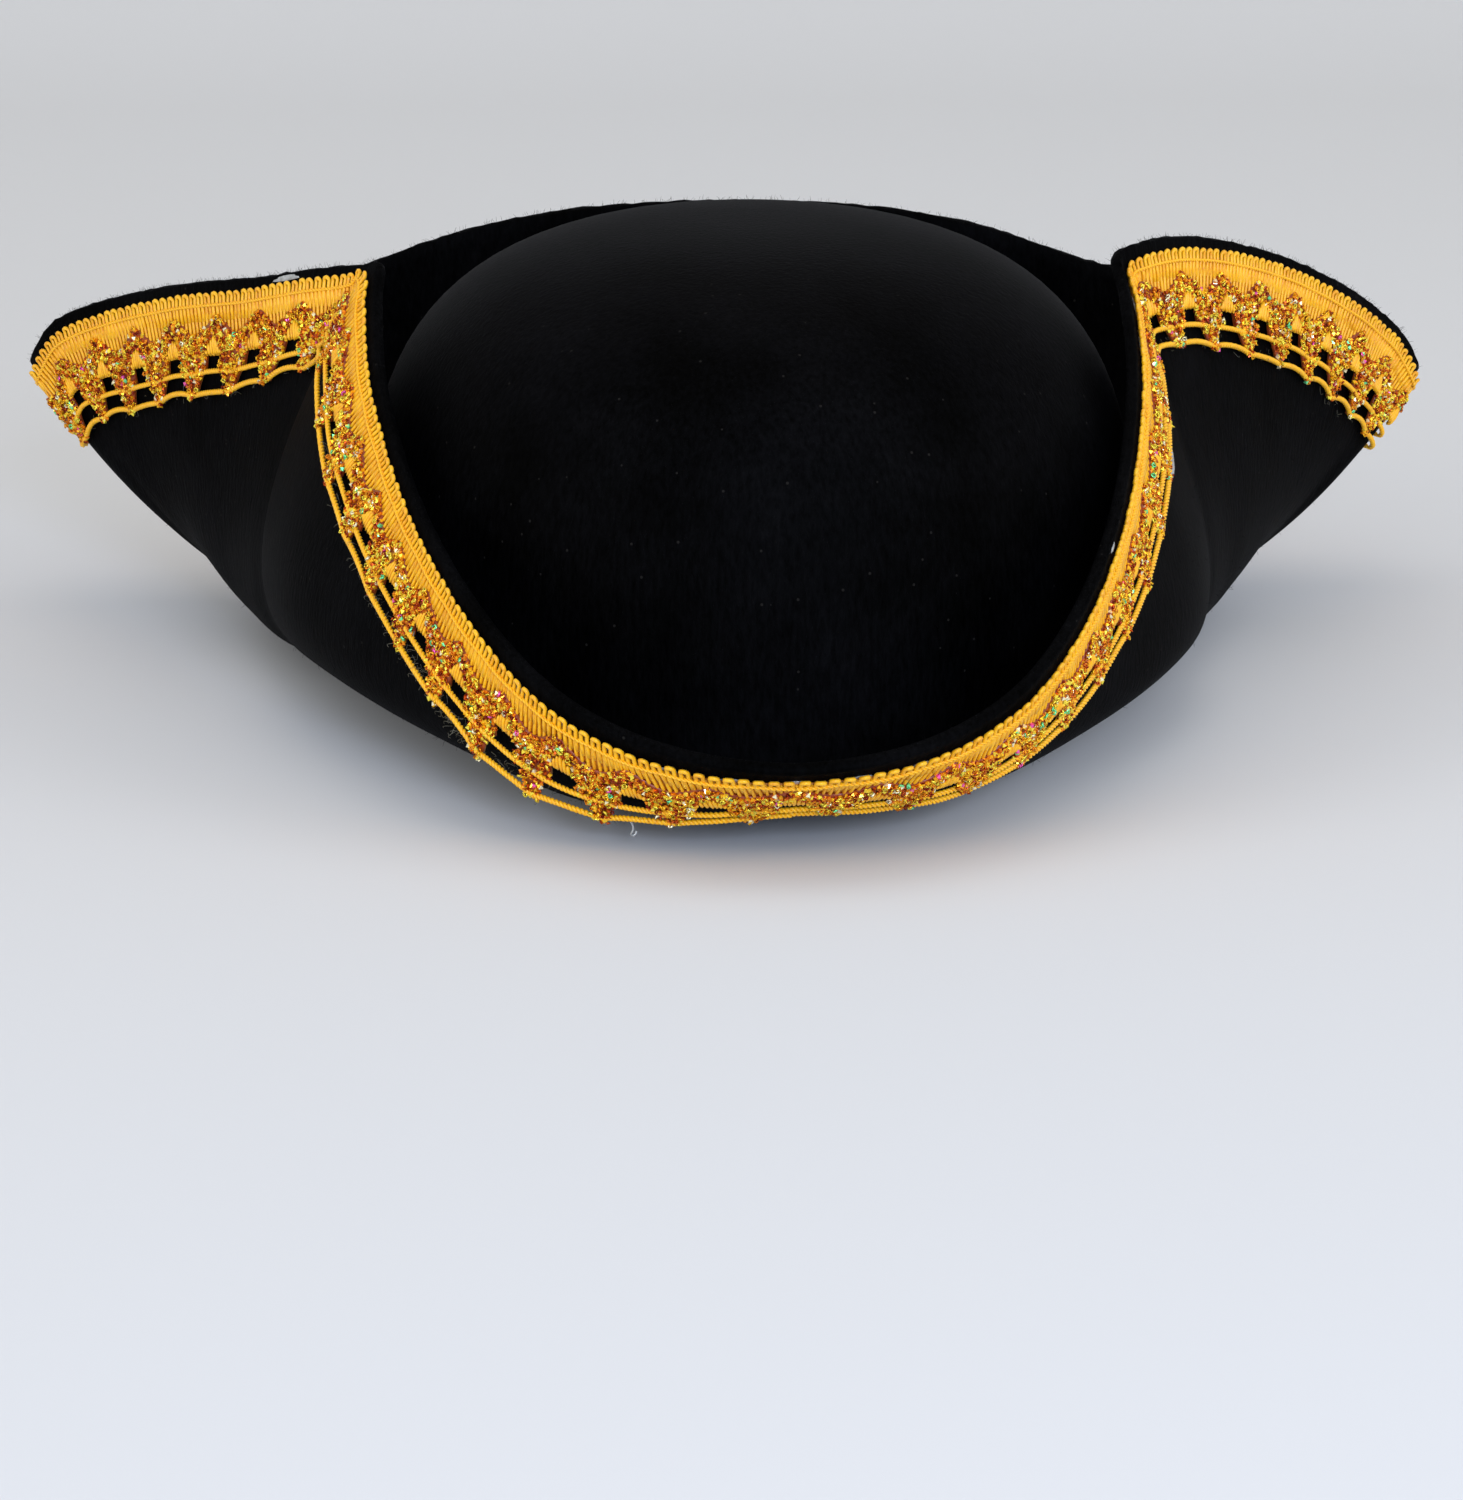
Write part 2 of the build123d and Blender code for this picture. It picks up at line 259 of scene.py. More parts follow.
    def trim_frames(self, run: Array, back: Array, lift: Array) -> tuple[Array, ...]:
        """Place trim on the underside of the brim.

        Args:
            run: Millimetres along the rim, one value a point.
            back: Millimetres back from the rim, one value a point.
            lift: Millimetres off the felt's face, one value a point.

        Returns:
            Points, directions along the rim, directions up to the rim, and normals off the felt.
        """
        lap = self.lap_at(run)
        point, along, upward, normal = self.frames(lap, self.share_at(lap, back))
        return point + normal * (FELT / 2 + np.asarray(lift))[:, None], along, upward, normal


def unit(vectors: Array) -> Array:
    """Scale each row to length one."""
    return vectors / np.maximum(np.linalg.norm(vectors, axis=1, keepdims=True), 1e-9)


# ---------------------------------------------------------------- meshes and trees


def mesh_object(name: str, points: Array, faces: list[tuple[int, ...]], smooth: bool = True) -> Piece:
    """Make a mesh object from points in millimetres.

    Args:
        name: Name of the object and of its mesh.
        points: One row a vertex, in millimetres.
        faces: Vertex numbers of each face.
        smooth: Whether the faces are shaded smooth.

    Returns:
        The linked object, in metres.
    """
    mesh = bpy.data.meshes.new(name)
    mesh.from_pydata((np.asarray(points) * MM).tolist(), [], faces)
    if faces:
        shell = bmesh.new()
        shell.from_mesh(mesh)
        bmesh.ops.recalc_face_normals(shell, faces=shell.faces)
        shell.to_mesh(mesh)
        shell.free()
    mesh.polygons.foreach_set("use_smooth", [smooth] * len(mesh.polygons))
    made = bpy.data.objects.new(name, mesh)
    bpy.context.scene.collection.objects.link(made)
    return made


def dress(piece: Piece, finish: Material, level: float) -> None:
    """Give a piece its yarn finish and one level of the shade that this finish reads.

    Args:
        piece: The mesh object.
        finish: Its material.
        level: Shade from 0, dark, to 1, light.
    """
    piece.data.materials.append(finish)
    store = piece.data.attributes.new("shade", "FLOAT", "POINT")
    store.data.foreach_set("value", [level] * len(piece.data.vertices))


def grid_faces(rows: int, columns: int, closed: bool) -> list[tuple[int, int, int, int]]:
    """List the quads of a grid of vertices that is stored row by row.

    Args:
        rows: Number of rows.
        columns: Vertices in a row.
        closed: Whether the last row joins the first.

    Returns:
        The quads.
    """
    faces = []
    for i in range(rows if closed else rows - 1):
        here, there = i * columns, (i + 1) % rows * columns
        for j in range(columns - 1):
            faces.append((here + j, there + j, there + j + 1, here + j + 1))
    return faces


def skin_faces(rows: int, corners: int, closed: bool, start: int = 0) -> list[tuple[int, ...]]:
    """List the faces of a solid skinned over closed sections.

    Args:
        rows: Number of sections.
        corners: Corners of a section.
        closed: Whether the last section joins the first; otherwise both ends are capped.
        start: Number of the solid's first vertex in its mesh.

    Returns:
        The faces.
    """
    faces = []
    for i in range(rows if closed else rows - 1):
        here, there = start + i * corners, start + (i + 1) % rows * corners
        for j in range(corners):
            k = (j + 1) % corners
            faces.append((here + j, here + k, there + k, there + j))
    if not closed:
        faces.append(tuple(start + j for j in reversed(range(corners))))
        faces.append(tuple(start + (rows - 1) * corners + j for j in range(corners)))
    return faces


def tube(path: Array, radius: Array, sides: int, closed: bool) -> Array:
    """Sweep a round section along a path.

    Args:
        path: Points of the path, in millimetres.
        radius: Radius at each point.
        sides: Corners of the section.
        closed: Whether the path is a ring.

    Returns:
        The vertices, section by section.
    """
    if closed:
        tangent = unit(np.roll(path, -1, 0) - np.roll(path, 1, 0))
    else:
        tangent = unit(np.gradient(path, axis=0))
    guide = np.zeros_like(tangent)
    guide[0] = np.cross(tangent[0], (0.31, 0.17, 0.93))
    for i in range(1, len(path)):
        guide[i] = guide[i - 1] - tangent[i] * guide[i - 1].dot(tangent[i])
        guide[i] /= np.linalg.norm(guide[i])
    guide = unit(guide)
    across = np.cross(tangent, guide)
    turn = 2 * math.pi * np.arange(sides) / sides
    ring = np.cos(turn)[None, :, None] * guide[:, None] + np.sin(turn)[None, :, None] * across[:, None]
    return (path[:, None] + ring * np.asarray(radius).reshape(-1, 1, 1)).reshape(-1, 3)


def tubes_object(
    name: str, paths: list[Array], radius: float | Array, sides: int, closed: bool = False
) -> Piece:
    """Make one object of several tubes.

    Args:
        name: Name of the object.
        paths: The tubes' middle lines, in millimetres.
        radius: Radius of every tube, or its radius at each point, in millimetres.
        sides: Corners of the section.
        closed: Whether each path is a ring.

    Returns:
        The object.
    """
    points, faces = [], []
    for path in paths:
        faces += skin_faces(len(path), sides, closed, sum(len(p) for p in points))
        points.append(tube(path, radius * np.ones(len(path)), sides, closed))
    return mesh_object(name, np.vstack(points), faces)


def add_node(tree: Tree, kind: str, inputs: dict | None = None, **settings: object) -> Node:
    """Add a node with its settings, values and links.

    Args:
        tree: The tree that gets the node.
        kind: The node's type name.
        inputs: Value or output socket for each named or numbered input.
        **settings: Attributes of the node, such as its operation.

    Returns:
        The node.
    """
    node = tree.nodes.new(kind)
    for key, value in settings.items():
        setattr(node, key, value)
    for key, value in (inputs or {}).items():
        if isinstance(value, Socket):
            tree.links.new(value, node.inputs[key])
        else:
            node.inputs[key].default_value = value
    return node


GUIDE_VECTORS = ("facing", "along", "stretch")
CURL_SPREADS = {"turn_spread": 3.1, "tilt_spread": 0.8, "size_spread": 0.3}
KNOT_SPREADS = {"turn_spread": 3.1, "tilt_spread": 1.5, "size_spread": 0.35}


def math_node(tree: Tree, operation: str, *values: Socket | float) -> Socket:
    """Add a math node.

    Args:
        tree: The tree that gets the node.
        operation: What it works out.
        *values: Value or output socket for each input.

    Returns:
        Its output socket.
    """
    return add_node(tree, "ShaderNodeMath", dict(enumerate(values)), operation=operation).outputs[0]


@dataclass
class ShapeRow:
    """Geometry Nodes tree that sets one small shape on every guide point and turns it to the felt."""

    name: str
    turn_spread: float = 0.0
    tilt_spread: float = 0.0
    size_spread: float = 0.0
    seed: int = 1

    def tree(self) -> bpy.types.GeometryNodeTree:
        """Build the tree.

        Returns:
            The tree, with its shape, spreads, seed and finish as named inputs.
        """
        tree = bpy.data.node_groups.new(self.name, "GeometryNodeTree")
        kinds = {
            "Geometry": "NodeSocketGeometry", "Shape": "NodeSocketObject", "Turn Spread": "NodeSocketFloat",
            "Tilt Spread": "NodeSocketFloat", "Size Spread": "NodeSocketFloat", "Seed": "NodeSocketInt",
            "Finish": "NodeSocketMaterial",
        }
        for label, kind in kinds.items():
            tree.interface.new_socket(label, in_out="INPUT", socket_type=kind)
        tree.interface.new_socket("Geometry", in_out="OUTPUT", socket_type="NodeSocketGeometry")
        given = add_node(tree, "NodeGroupInput").outputs
        facing, along, stretch = (
            add_node(tree, "GeometryNodeInputNamedAttribute", {"Name": label}, data_type="FLOAT_VECTOR")
            for label in GUIDE_VECTORS
        )
        turned = add_node(
            tree, "FunctionNodeAxesToRotation",
            {"Primary Axis": facing.outputs[0], "Secondary Axis": along.outputs[0]},
            primary_axis="Z", secondary_axis="X",
        )
        chance = add_node(
            tree, "FunctionNodeRandomValue", {"Min": (-1, -1, -1), "Max": (1, 1, 1), "Seed": given["Seed"]},
            data_type="FLOAT_VECTOR",
        )
        apart = add_node(tree, "ShaderNodeSeparateXYZ", {0: chance.outputs[0]})
        spreads = (given["Tilt Spread"], given["Tilt Spread"], given["Turn Spread"])
        angles = add_node(tree, "ShaderNodeCombineXYZ", {
            axis: math_node(tree, "MULTIPLY", apart.outputs[axis], spread)
            for axis, spread in enumerate(spreads)
        })
        spin = add_node(tree, "FunctionNodeEulerToRotation", {0: angles.outputs[0]})
        placed = add_node(
            tree, "FunctionNodeRotateRotation", {0: turned.outputs[0], 1: spin.outputs[0]},
            rotation_space="LOCAL",
        )
        luck = add_node(
            tree, "FunctionNodeRandomValue", {2: -1.0, 3: 1.0, "Seed": given["Seed"]}, data_type="FLOAT"
        )
        swell = math_node(tree, "MULTIPLY_ADD", luck.outputs[1], given["Size Spread"], 1.0)
        size = add_node(
            tree, "ShaderNodeVectorMath", {0: stretch.outputs[0], "Scale": swell}, operation="SCALE"
        )
        shape = add_node(tree, "GeometryNodeObjectInfo", {"Object": given["Shape"], "As Instance": True})
        copies = add_node(
            tree, "GeometryNodeInstanceOnPoints",
            {
                "Points": given["Geometry"], "Instance": shape.outputs["Geometry"],
                "Rotation": placed.outputs[0], "Scale": size.outputs[0],
            },
        )
        shade = add_node(
            tree, "FunctionNodeRandomValue", {2: 0.0, 3: 1.0, "Seed": given["Seed"]}, data_type="FLOAT"
        )
        shaded = add_node(
            tree, "GeometryNodeStoreNamedAttribute",
            {"Geometry": copies.outputs[0], "Name": "shade", "Value": shade.outputs[1]},
            data_type="FLOAT", domain="INSTANCE",
        )
        real = add_node(tree, "GeometryNodeRealizeInstances", {0: shaded.outputs[0]})
        dressed = {0: real.outputs[0], "Material": given["Finish"]}
        finished = add_node(tree, "GeometryNodeSetMaterial", dressed)
        add_node(tree, "NodeGroupOutput", {0: finished.outputs[0]})
        return tree

    def make(
        self, shape: Piece, points: Array, facing: Array, along: Array,
        stretch: Array, finish: Material,
    ) -> Piece:
        """Set the shape on every guide point and return a plain mesh.

        Args:
            shape: The small shape, in metres about its own origin.
            points: Guide points in millimetres.
            facing: Direction of the shape's Z axis at each point.
            along: Direction of the shape's X axis at each point.
            stretch: Scale of the shape along its own axes at each point.
            finish: Material of the result.

        Returns:
            The finished object at the origin.
        """
        guide = mesh_object(f"{self.name}_guide", points, [])
        for label, values in zip(GUIDE_VECTORS, (facing, along, stretch)):
            store = guide.data.attributes.new(label, "FLOAT_VECTOR", "POINT")
            store.data.foreach_set("vector", np.asarray(values, np.float32).ravel())
        modifier = guide.modifiers.new(self.name, "NODES")
        tree = self.tree()
        modifier.node_group = tree
        values = {
            "Shape": shape, "Turn Spread": self.turn_spread, "Tilt Spread": self.tilt_spread,
            "Size Spread": self.size_spread, "Seed": self.seed, "Finish": finish,
        }
        for item in tree.interface.items_tree:
            if item.in_out == "INPUT" and item.name in values:
                modifier[item.identifier] = values[item.name]
        guide.update_tag()
        bpy.context.view_layer.update()
        evaluated = guide.evaluated_get(bpy.context.evaluated_depsgraph_get())
        made = bpy.data.objects.new(self.name, bpy.data.meshes.new_from_object(evaluated))
        bpy.context.scene.collection.objects.link(made)
        for spent in (guide, shape):
            bpy.data.objects.remove(spent)
        if not made.data.materials:
            made.data.materials.append(finish)
        return made


def join_objects(name: str, objects: list[Piece]) -> Piece:
    """Join mesh objects that lie at the origin.

    Args:
        name: Name of the joined object.
        objects: The objects, which are used up.

    Returns:
        The joined object.
    """
    with bpy.context.temp_override(active_object=objects[0], selected_editable_objects=objects):
        bpy.ops.object.join()
    objects[0].name = name
    return objects[0]


# ---------------------------------------------------------------- finishes


def linear(colour: str) -> tuple[float, float, float, float]:
    """Turn an sRGB hex colour to linear light.

    Args:
        colour: Six hex digits with a leading hash.

    Returns:
        Red, green, blue and an alpha of one.
    """
    parts = [int(colour[i:i + 2], 16) / 255 for i in (1, 3, 5)]
    red, green, blue = ((p / 12.92 if p <= 0.04045 else ((p + 0.055) / 1.055) ** 2.4) for p in parts)
    return red, green, blue, 1.0


def new_material(name: str) -> tuple[Material, Tree, Node]:
    """Start a node material.

    Args:
        name: Name of the material.

    Returns:
        The material, its tree and its Principled BSDF node.
    """
    made = bpy.data.materials.new(name)
    made.use_nodes = True
    tree = made.node_tree
    return made, tree, tree.nodes["Principled BSDF"]


def ramp_node(tree: Tree, factor: Socket, stops: list[tuple[float, str]]) -> Node:
    """Add a colour ramp.

    Args:
        tree: The tree that gets the node.
        factor: What drives the ramp.
        stops: Place and hex colour of each stop.

    Returns:
        The ramp node.
    """
    node = add_node(tree, "ShaderNodeValToRGB", {0: factor})
    elements = node.color_ramp.elements
    while len(elements) < len(stops):
        elements.new(0.5)
    for element, (place, colour) in zip(elements, stops):
        element.position = place
        element.color = linear(colour)
    return node


def finish_surface(
    tree: Tree, shader: Node, colour: Socket,
    relief: tuple[Socket, float, float] | None = None, **values: float | tuple[float, ...],
) -> None:
    """Link colour and relief to a shader and set its plain values.

    Args:
        tree: The material's tree.
        shader: Its Principled BSDF node.
        colour: What gives the base colour.
        relief: Height, strength and distance in metres of the bump, if any.
        **values: Value of each named input, with underscores for its spaces.
    """
    tree.links.new(colour, shader.inputs["Base Color"])
    if relief:
        height, strength, distance = relief
        bump = {"Height": height, "Strength": strength, "Distance": distance}
        raised = add_node(tree, "ShaderNodeBump", bump)
        tree.links.new(raised.outputs[0], shader.inputs["Normal"])
    for label, value in values.items():
        shader.inputs[label.replace("_", " ")].default_value = value


@dataclass(frozen=True)
class NeedledFelt:
    """Polyester felt needled from staple fibre: matt, near black, with a short nap and pale specks."""

    name: str = "needled_polyester_felt"
    deep: str = "#000000"
    worn: str = "#0B0B0D"
    speck: str = "#77726C"
    fibre_mm: float = 0.35
    cloud_mm: float = 9.0
    speck_mm: float = 0.9
    speck_reach: float = 0.16
    speck_rarity: float = 0.93
    speck_strength: float = 0.06

    def material(self) -> Material:
        """Build the material.

        Returns:
            The felt.
        """
        made, tree, shader = new_material(self.name)
        where = add_node(tree, "ShaderNodeTexCoord").outputs["Object"]
        fibres = add_node(tree, "ShaderNodeMapping", {"Vector": where, "Scale": (1.0, 1.0, 0.28)})
        nap = add_node(
            tree, "ShaderNodeTexNoise",
            {"Vector": fibres.outputs[0], "Scale": 1000 / self.fibre_mm / 3, "Detail": 3.0, "Roughness": 0.7},
        )
        cloud = add_node(
            tree, "ShaderNodeTexNoise", {"Vector": where, "Scale": 1000 / self.cloud_mm / 3, "Detail": 4.0}
        )
        mixed = math_node(tree, "MULTIPLY", nap.outputs[0], cloud.outputs[0])
        tone = ramp_node(tree, mixed, [(0.12, self.deep), (0.5, self.worn)])
        dots = add_node(tree, "ShaderNodeTexVoronoi", {"Vector": where, "Scale": 1000 / self.speck_mm / 2})
        near = math_node(tree, "LESS_THAN", dots.outputs["Distance"], self.speck_reach)
        pick = add_node(tree, "ShaderNodeSeparateColor", {0: dots.outputs["Color"]})
        rare = math_node(tree, "GREATER_THAN", pick.outputs[0], self.speck_rarity)
        lint = math_node(tree, "MULTIPLY", near, rare)
        faint = math_node(tree, "MULTIPLY", lint, self.speck_strength)
        colour = add_node(
            tree, "ShaderNodeMix", {0: faint, 6: tone.outputs[0], 7: linear(self.speck)}, data_type="RGBA"
        )
        finish_surface(
            tree, shader, colour.outputs[2], (nap.outputs[0], 0.55, 0.0004), Roughness=0.6, IOR=1.07,
            Sheen_Weight=0.003, Sheen_Roughness=0.35, Sheen_Tint=linear("#B9BDD0"),
        )
        return made


@dataclass(frozen=True)
class SatinYarn:
    """Bright viscose yarn, laid flat and tight: glossy along each thread, with painted shade between threads
    as dark flecks of a fine noise.
    """

    name: str
    light: str
    dark: str
    ply_mm: float = 0.25

    def material(self) -> Material:
        """Build the material.

        Returns:
            The yarn.
        """
        made, tree, shader = new_material(self.name)
        where = add_node(tree, "ShaderNodeTexCoord").outputs["Object"]
        shade = add_node(tree, "ShaderNodeAttribute", attribute_name="shade")
        ply = add_node(
            tree, "ShaderNodeTexNoise", {"Vector": where, "Scale": 1000 / self.ply_mm / 3, "Detail": 2.0}
        )
        # Painted shade: the ply noise puts dark flecks that stand for shade between threads; the shade
        # attribute adds a random tone for each copy.
        mixed = math_node(tree, "MULTIPLY_ADD", shade.outputs["Fac"], 0.35, ply.outputs[0])
        tone = ramp_node(tree, mixed, [(0.25, self.dark), (0.75, self.light)])
        finish_surface(
            tree, shader, tone.outputs[0], (ply.outputs[0], 0.4, 0.0001), Roughness=0.38,
            Sheen_Weight=0.15, Sheen_Tint=linear("#FFE28A"),
        )
        return made


@dataclass(frozen=True)
class LurexGimp:
    """Curled metallised film yarn, red brown to gold: each curl gets one random colour, and the palest
    yellow, near-white, green and pink ones are painted glints.
    """

    name: str = "lurex_gimp"

    def material(self) -> Material:
        """Build the material.

        Returns:
            The metallic gimp.
        """
        made, tree, shader = new_material(self.name)
        shade = add_node(tree, "ShaderNodeAttribute", attribute_name="shade")
        # Painted glints: the #FFE848, #FFF6C8, green and pink stops stand for sparkle; red brown to gold is
        # the film's own colour.
        tone = ramp_node(
            tree, shade.outputs["Fac"],
            [
                (0.0, "#8E1E08"), (0.2, "#CC520A"), (0.42, "#EE8C0E"), (0.66, "#FFC01C"), (0.84, "#FFE848"),
                (0.96, "#FFF6C8"), (0.985, "#7CF0A0"), (0.993, "#F860B8"),
            ],
        )
        tone.color_ramp.interpolation = "CONSTANT"
        finish_surface(tree, shader, tone.outputs[0], Metallic=0.6, Roughness=0.25)
        return made


@dataclass(frozen=True)
class HotGlue:
    """Hot-melt glue set in a thin smear: milky, glossy and slightly see-through."""

    name: str = "hot_melt_glue"

    def material(self) -> Material:
        """Build the material.

        Returns:
            The glue.
        """
        made, tree, shader = new_material(self.name)
        where = add_node(tree, "ShaderNodeTexCoord").outputs["Object"]
        haze = add_node(tree, "ShaderNodeTexNoise", {"Vector": where, "Scale": 700.0, "Detail": 2.0})
        tone = ramp_node(tree, haze.outputs[0], [(0.35, "#A9ABA8"), (0.7, "#E4E6E4")])
        finish_surface(tree, shader, tone.outputs[0], Roughness=0.25, Transmission_Weight=0.35, IOR=1.48)
        return made


@dataclass(frozen=True)
class GrosgrainRibbon:
    """Corded black ribbon: fine ribs run up its height, with a painted highlight on each rib and painted
    shade between ribs for a soft silky line of light.
    """

    name: str = "grosgrain_ribbon"
    ribs_around: float = 380.0

    def material(self) -> Material:
        """Build the material.

        Returns:
            The ribbon.
        """
        made, tree, shader = new_material(self.name)
        where = add_node(tree, "ShaderNodeUVMap", uv_map="weave")
        ribs = add_node(
            tree, "ShaderNodeTexWave", {"Vector": where.outputs[0], "Scale": self.ribs_around / 6.28},
            bands_direction="X",
        )
        # Painted highlight and shade: the rib wave lightens each rib and darkens the grooves between them.
        tone = ramp_node(tree, ribs.outputs["Fac"], [(0.0, "#050506"), (1.0, "#1D1D21")])
        relief = (ribs.outputs["Fac"], 0.6, 0.0002)
        finish_surface(tree, shader, tone.outputs[0], relief, Roughness=0.5, Sheen_Weight=0.2)
        return made


@dataclass(frozen=True)
class MattPaint:
    """Plain studio paper: one pale tone with no gloss."""

    name: str
    colour: str

    def material(self) -> Material:
        """Build the material.

        Returns:
            The paper.
        """
        made, _, shader = new_material(self.name)
        shader.inputs["Base Color"].default_value = linear(self.colour)
        shader.inputs["Roughness"].default_value = 0.9
        return made


# ---------------------------------------------------------------- the hat's pieces


def settle(piece: Piece, slot: Slot, *nodes: str) -> None:
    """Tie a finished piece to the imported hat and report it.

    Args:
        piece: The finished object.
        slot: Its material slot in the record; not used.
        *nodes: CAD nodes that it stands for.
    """
    if nodes:
        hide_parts(*nodes)
    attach(piece, BODY)
    LOG.info("%s: %d faces", piece.name, len(piece.data.polygons))


@dataclass
class FeltHood:
    """Crown and brim, moulded from one sheet of felt, with its cut rim and loose fibres."""

    brim: Brim
    finish: Material
    rounds: int = 520
    dome_rows: int = 26
    brim_rows: int = 36
    fillet: float = 7.0
    landing: float = 0.16
    rim_fibres: int = 2600
    face_fibres: int = 1500
    fibre_radius: float = 0.035
    seed: int = 11

    def sheet_rows(self, lap: Array) -> Array:
        """Lay out the middle surface from the crown's top to the rim.

        Args:
            lap: Laps of the columns.

        Returns:
            Points shaped (laps, rows, 3), in millimetres, without the crown's top point.
        """
        side, values = self.brim.sections(lap)
        azimuth = np.arctan2(values[:, 0], -values[:, 1])
        root = crown_radius(azimuth) - FELT / 2
        foot = foot_height(np.abs(azimuth)) + FELT / 2
        height = CROWN_HEIGHT - FELT / 2
        across, up = CROWN_SQUARENESS

        def spread(radius: Array, level: Array) -> Array:
            """Place points at a radius and level of every lap."""
            return np.stack([side * radius * np.sin(azimuth), -radius * np.cos(azimuth), level], 1)

        rows = []
        for turn in np.linspace(0.05, 1.0, self.dome_rows):
            angle = turn * math.pi / 2 * 0.995
            level = height * math.cos(angle) ** (2 / up)
            rows.append((root * math.sin(angle) ** (2 / across), level + 0 * root))
        wall = [(r, z) for r, z in rows if z[0] > 2.6 * self.fillet]
        landing = self.brim.middle(lap, np.full(len(lap), self.landing))
        landing_radius = np.hypot(landing[:, 0], landing[:, 1])
        top = foot + self.fillet
        points = [spread(r, z) for r, z in wall]
        last_radius, last_level = wall[-1]
        for share in (0.34, 0.67, 1.0):
            level = last_level + (top - last_level) * share
            points.append(spread(last_radius + (root - last_radius) * share, level))
        for share in (0.2, 0.4, 0.6, 0.8):
            rest = 1 - share
            radius = rest**2 * root + 2 * rest * share * root + share**2 * landing_radius
            level = rest**2 * top + 2 * rest * share * foot + share**2 * landing[:, 2]
            points.append(spread(radius, level))
        for share in np.linspace(self.landing, 1, self.brim_rows):
            points.append(self.brim.middle(lap, np.full(len(lap), share)))
        return np.stack(points, 1)

    def make(self) -> None:
        """Build the sheet and its fibres."""
        run = np.linspace(0, self.brim.rim_length, self.rounds, endpoint=False)
        lap = self.brim.lap_at(run)
        middle = self.sheet_rows(lap)
        around = np.roll(middle, -1, 0) - np.roll(middle, 1, 0)
        outward = np.gradient(middle, axis=1)
        normal = np.cross(around, outward)
        normal /= np.maximum(np.linalg.norm(normal, axis=2, keepdims=True), 1e-9)
        below = middle + normal * FELT / 2
        above = middle - normal * FELT / 2
        tip = outward[:, -1] / np.linalg.norm(outward[:, -1], axis=1, keepdims=True)
        chance = np.random.default_rng(self.seed)
        ragged = chance.normal(0, 0.12, (self.rounds, 3))
        edge = []
        for k, turn in enumerate((0.25, 0.5, 0.75)):
            swing = math.pi * turn
            offset = normal[:, -1] * math.cos(swing) * FELT / 2 + tip * math.sin(swing) * FELT * 0.22
            edge.append(middle[:, -1] + offset + tip * ragged[:, k:k + 1])
        columns = np.concatenate([below, np.stack(edge, 1), above[:, ::-1]], 1)
        count = columns.shape[1]
        points = columns.reshape(-1, 3)
        faces = grid_faces(self.rounds, count, True)
        inner_top, outer_top = len(points), len(points) + 1
        top = CROWN_HEIGHT
        points = np.vstack([points, (0, 0, top - FELT), (0, 0, top)])
        for i in range(self.rounds):
            here, there = i * count, (i + 1) % self.rounds * count
            faces.append((inner_top, there, here))
            faces.append((outer_top, here + count - 1, there + count - 1))
        hood = mesh_object("felt_hood", points, faces)
        hood.data.materials.append(self.finish)
        settle(hood, Slot.FELT, "felt_crown", "felt_brim")
        self.fibres()

    def fibres(self) -> None:
        """Set loose fibres on the cut rim and both faces of the brim."""
        chance = np.random.default_rng(self.seed + 1)
        run = chance.uniform(0, self.brim.rim_length, self.rim_fibres)
        lap = self.brim.lap_at(run)
        point, along, upward, normal = self.brim.frames(lap, np.ones(len(lap)))
        face = chance.uniform(-1, 1, (len(lap), 1))
        point = point + normal * face * FELT / 2 + upward * 0.2
        facing = unit(upward + normal * face * 0.9 + along * chance.normal(0, 0.6, (len(lap), 1)))
        run = chance.uniform(0, self.brim.rim_length, self.face_fibres)
        lap_b = self.brim.lap_at(run)
        share = chance.uniform(0.15, 0.97, self.face_fibres)
        point_b, along_b, upward_b, normal_b = self.brim.frames(lap_b, share)
        flip = np.where(chance.uniform(size=(self.face_fibres, 1)) < 0.5, -1, 1)
        lean = chance.normal(0, 1.0, (self.face_fibres, 2))
        facing_b = unit(normal_b * flip + along_b * lean[:, :1] + upward_b * lean[:, 1:])
        points = np.vstack([point, point_b + normal_b * flip * FELT / 2 * 0.96])
        bend = np.linspace(0, 1, 4)
        path = np.stack([0.25 * bend**2, 0 * bend, bend], 1)
        shape = tubes_object("fibre", [path], self.fibre_radius * (1 - 0.6 * bend), 3)
        count = len(points)
        length = chance.uniform(0.5, 1.5, (count, 1))
        stretch = np.hstack([length, np.ones((count, 1)), length])
        facings = np.vstack([facing, facing_b])
        side = unit(np.cross(facings, chance.normal(size=(count, 3))))
        made = ShapeRow("felt_fibres", seed=3).make(shape, points, facings, side, stretch, self.finish)
        settle(made, Slot.FELT)


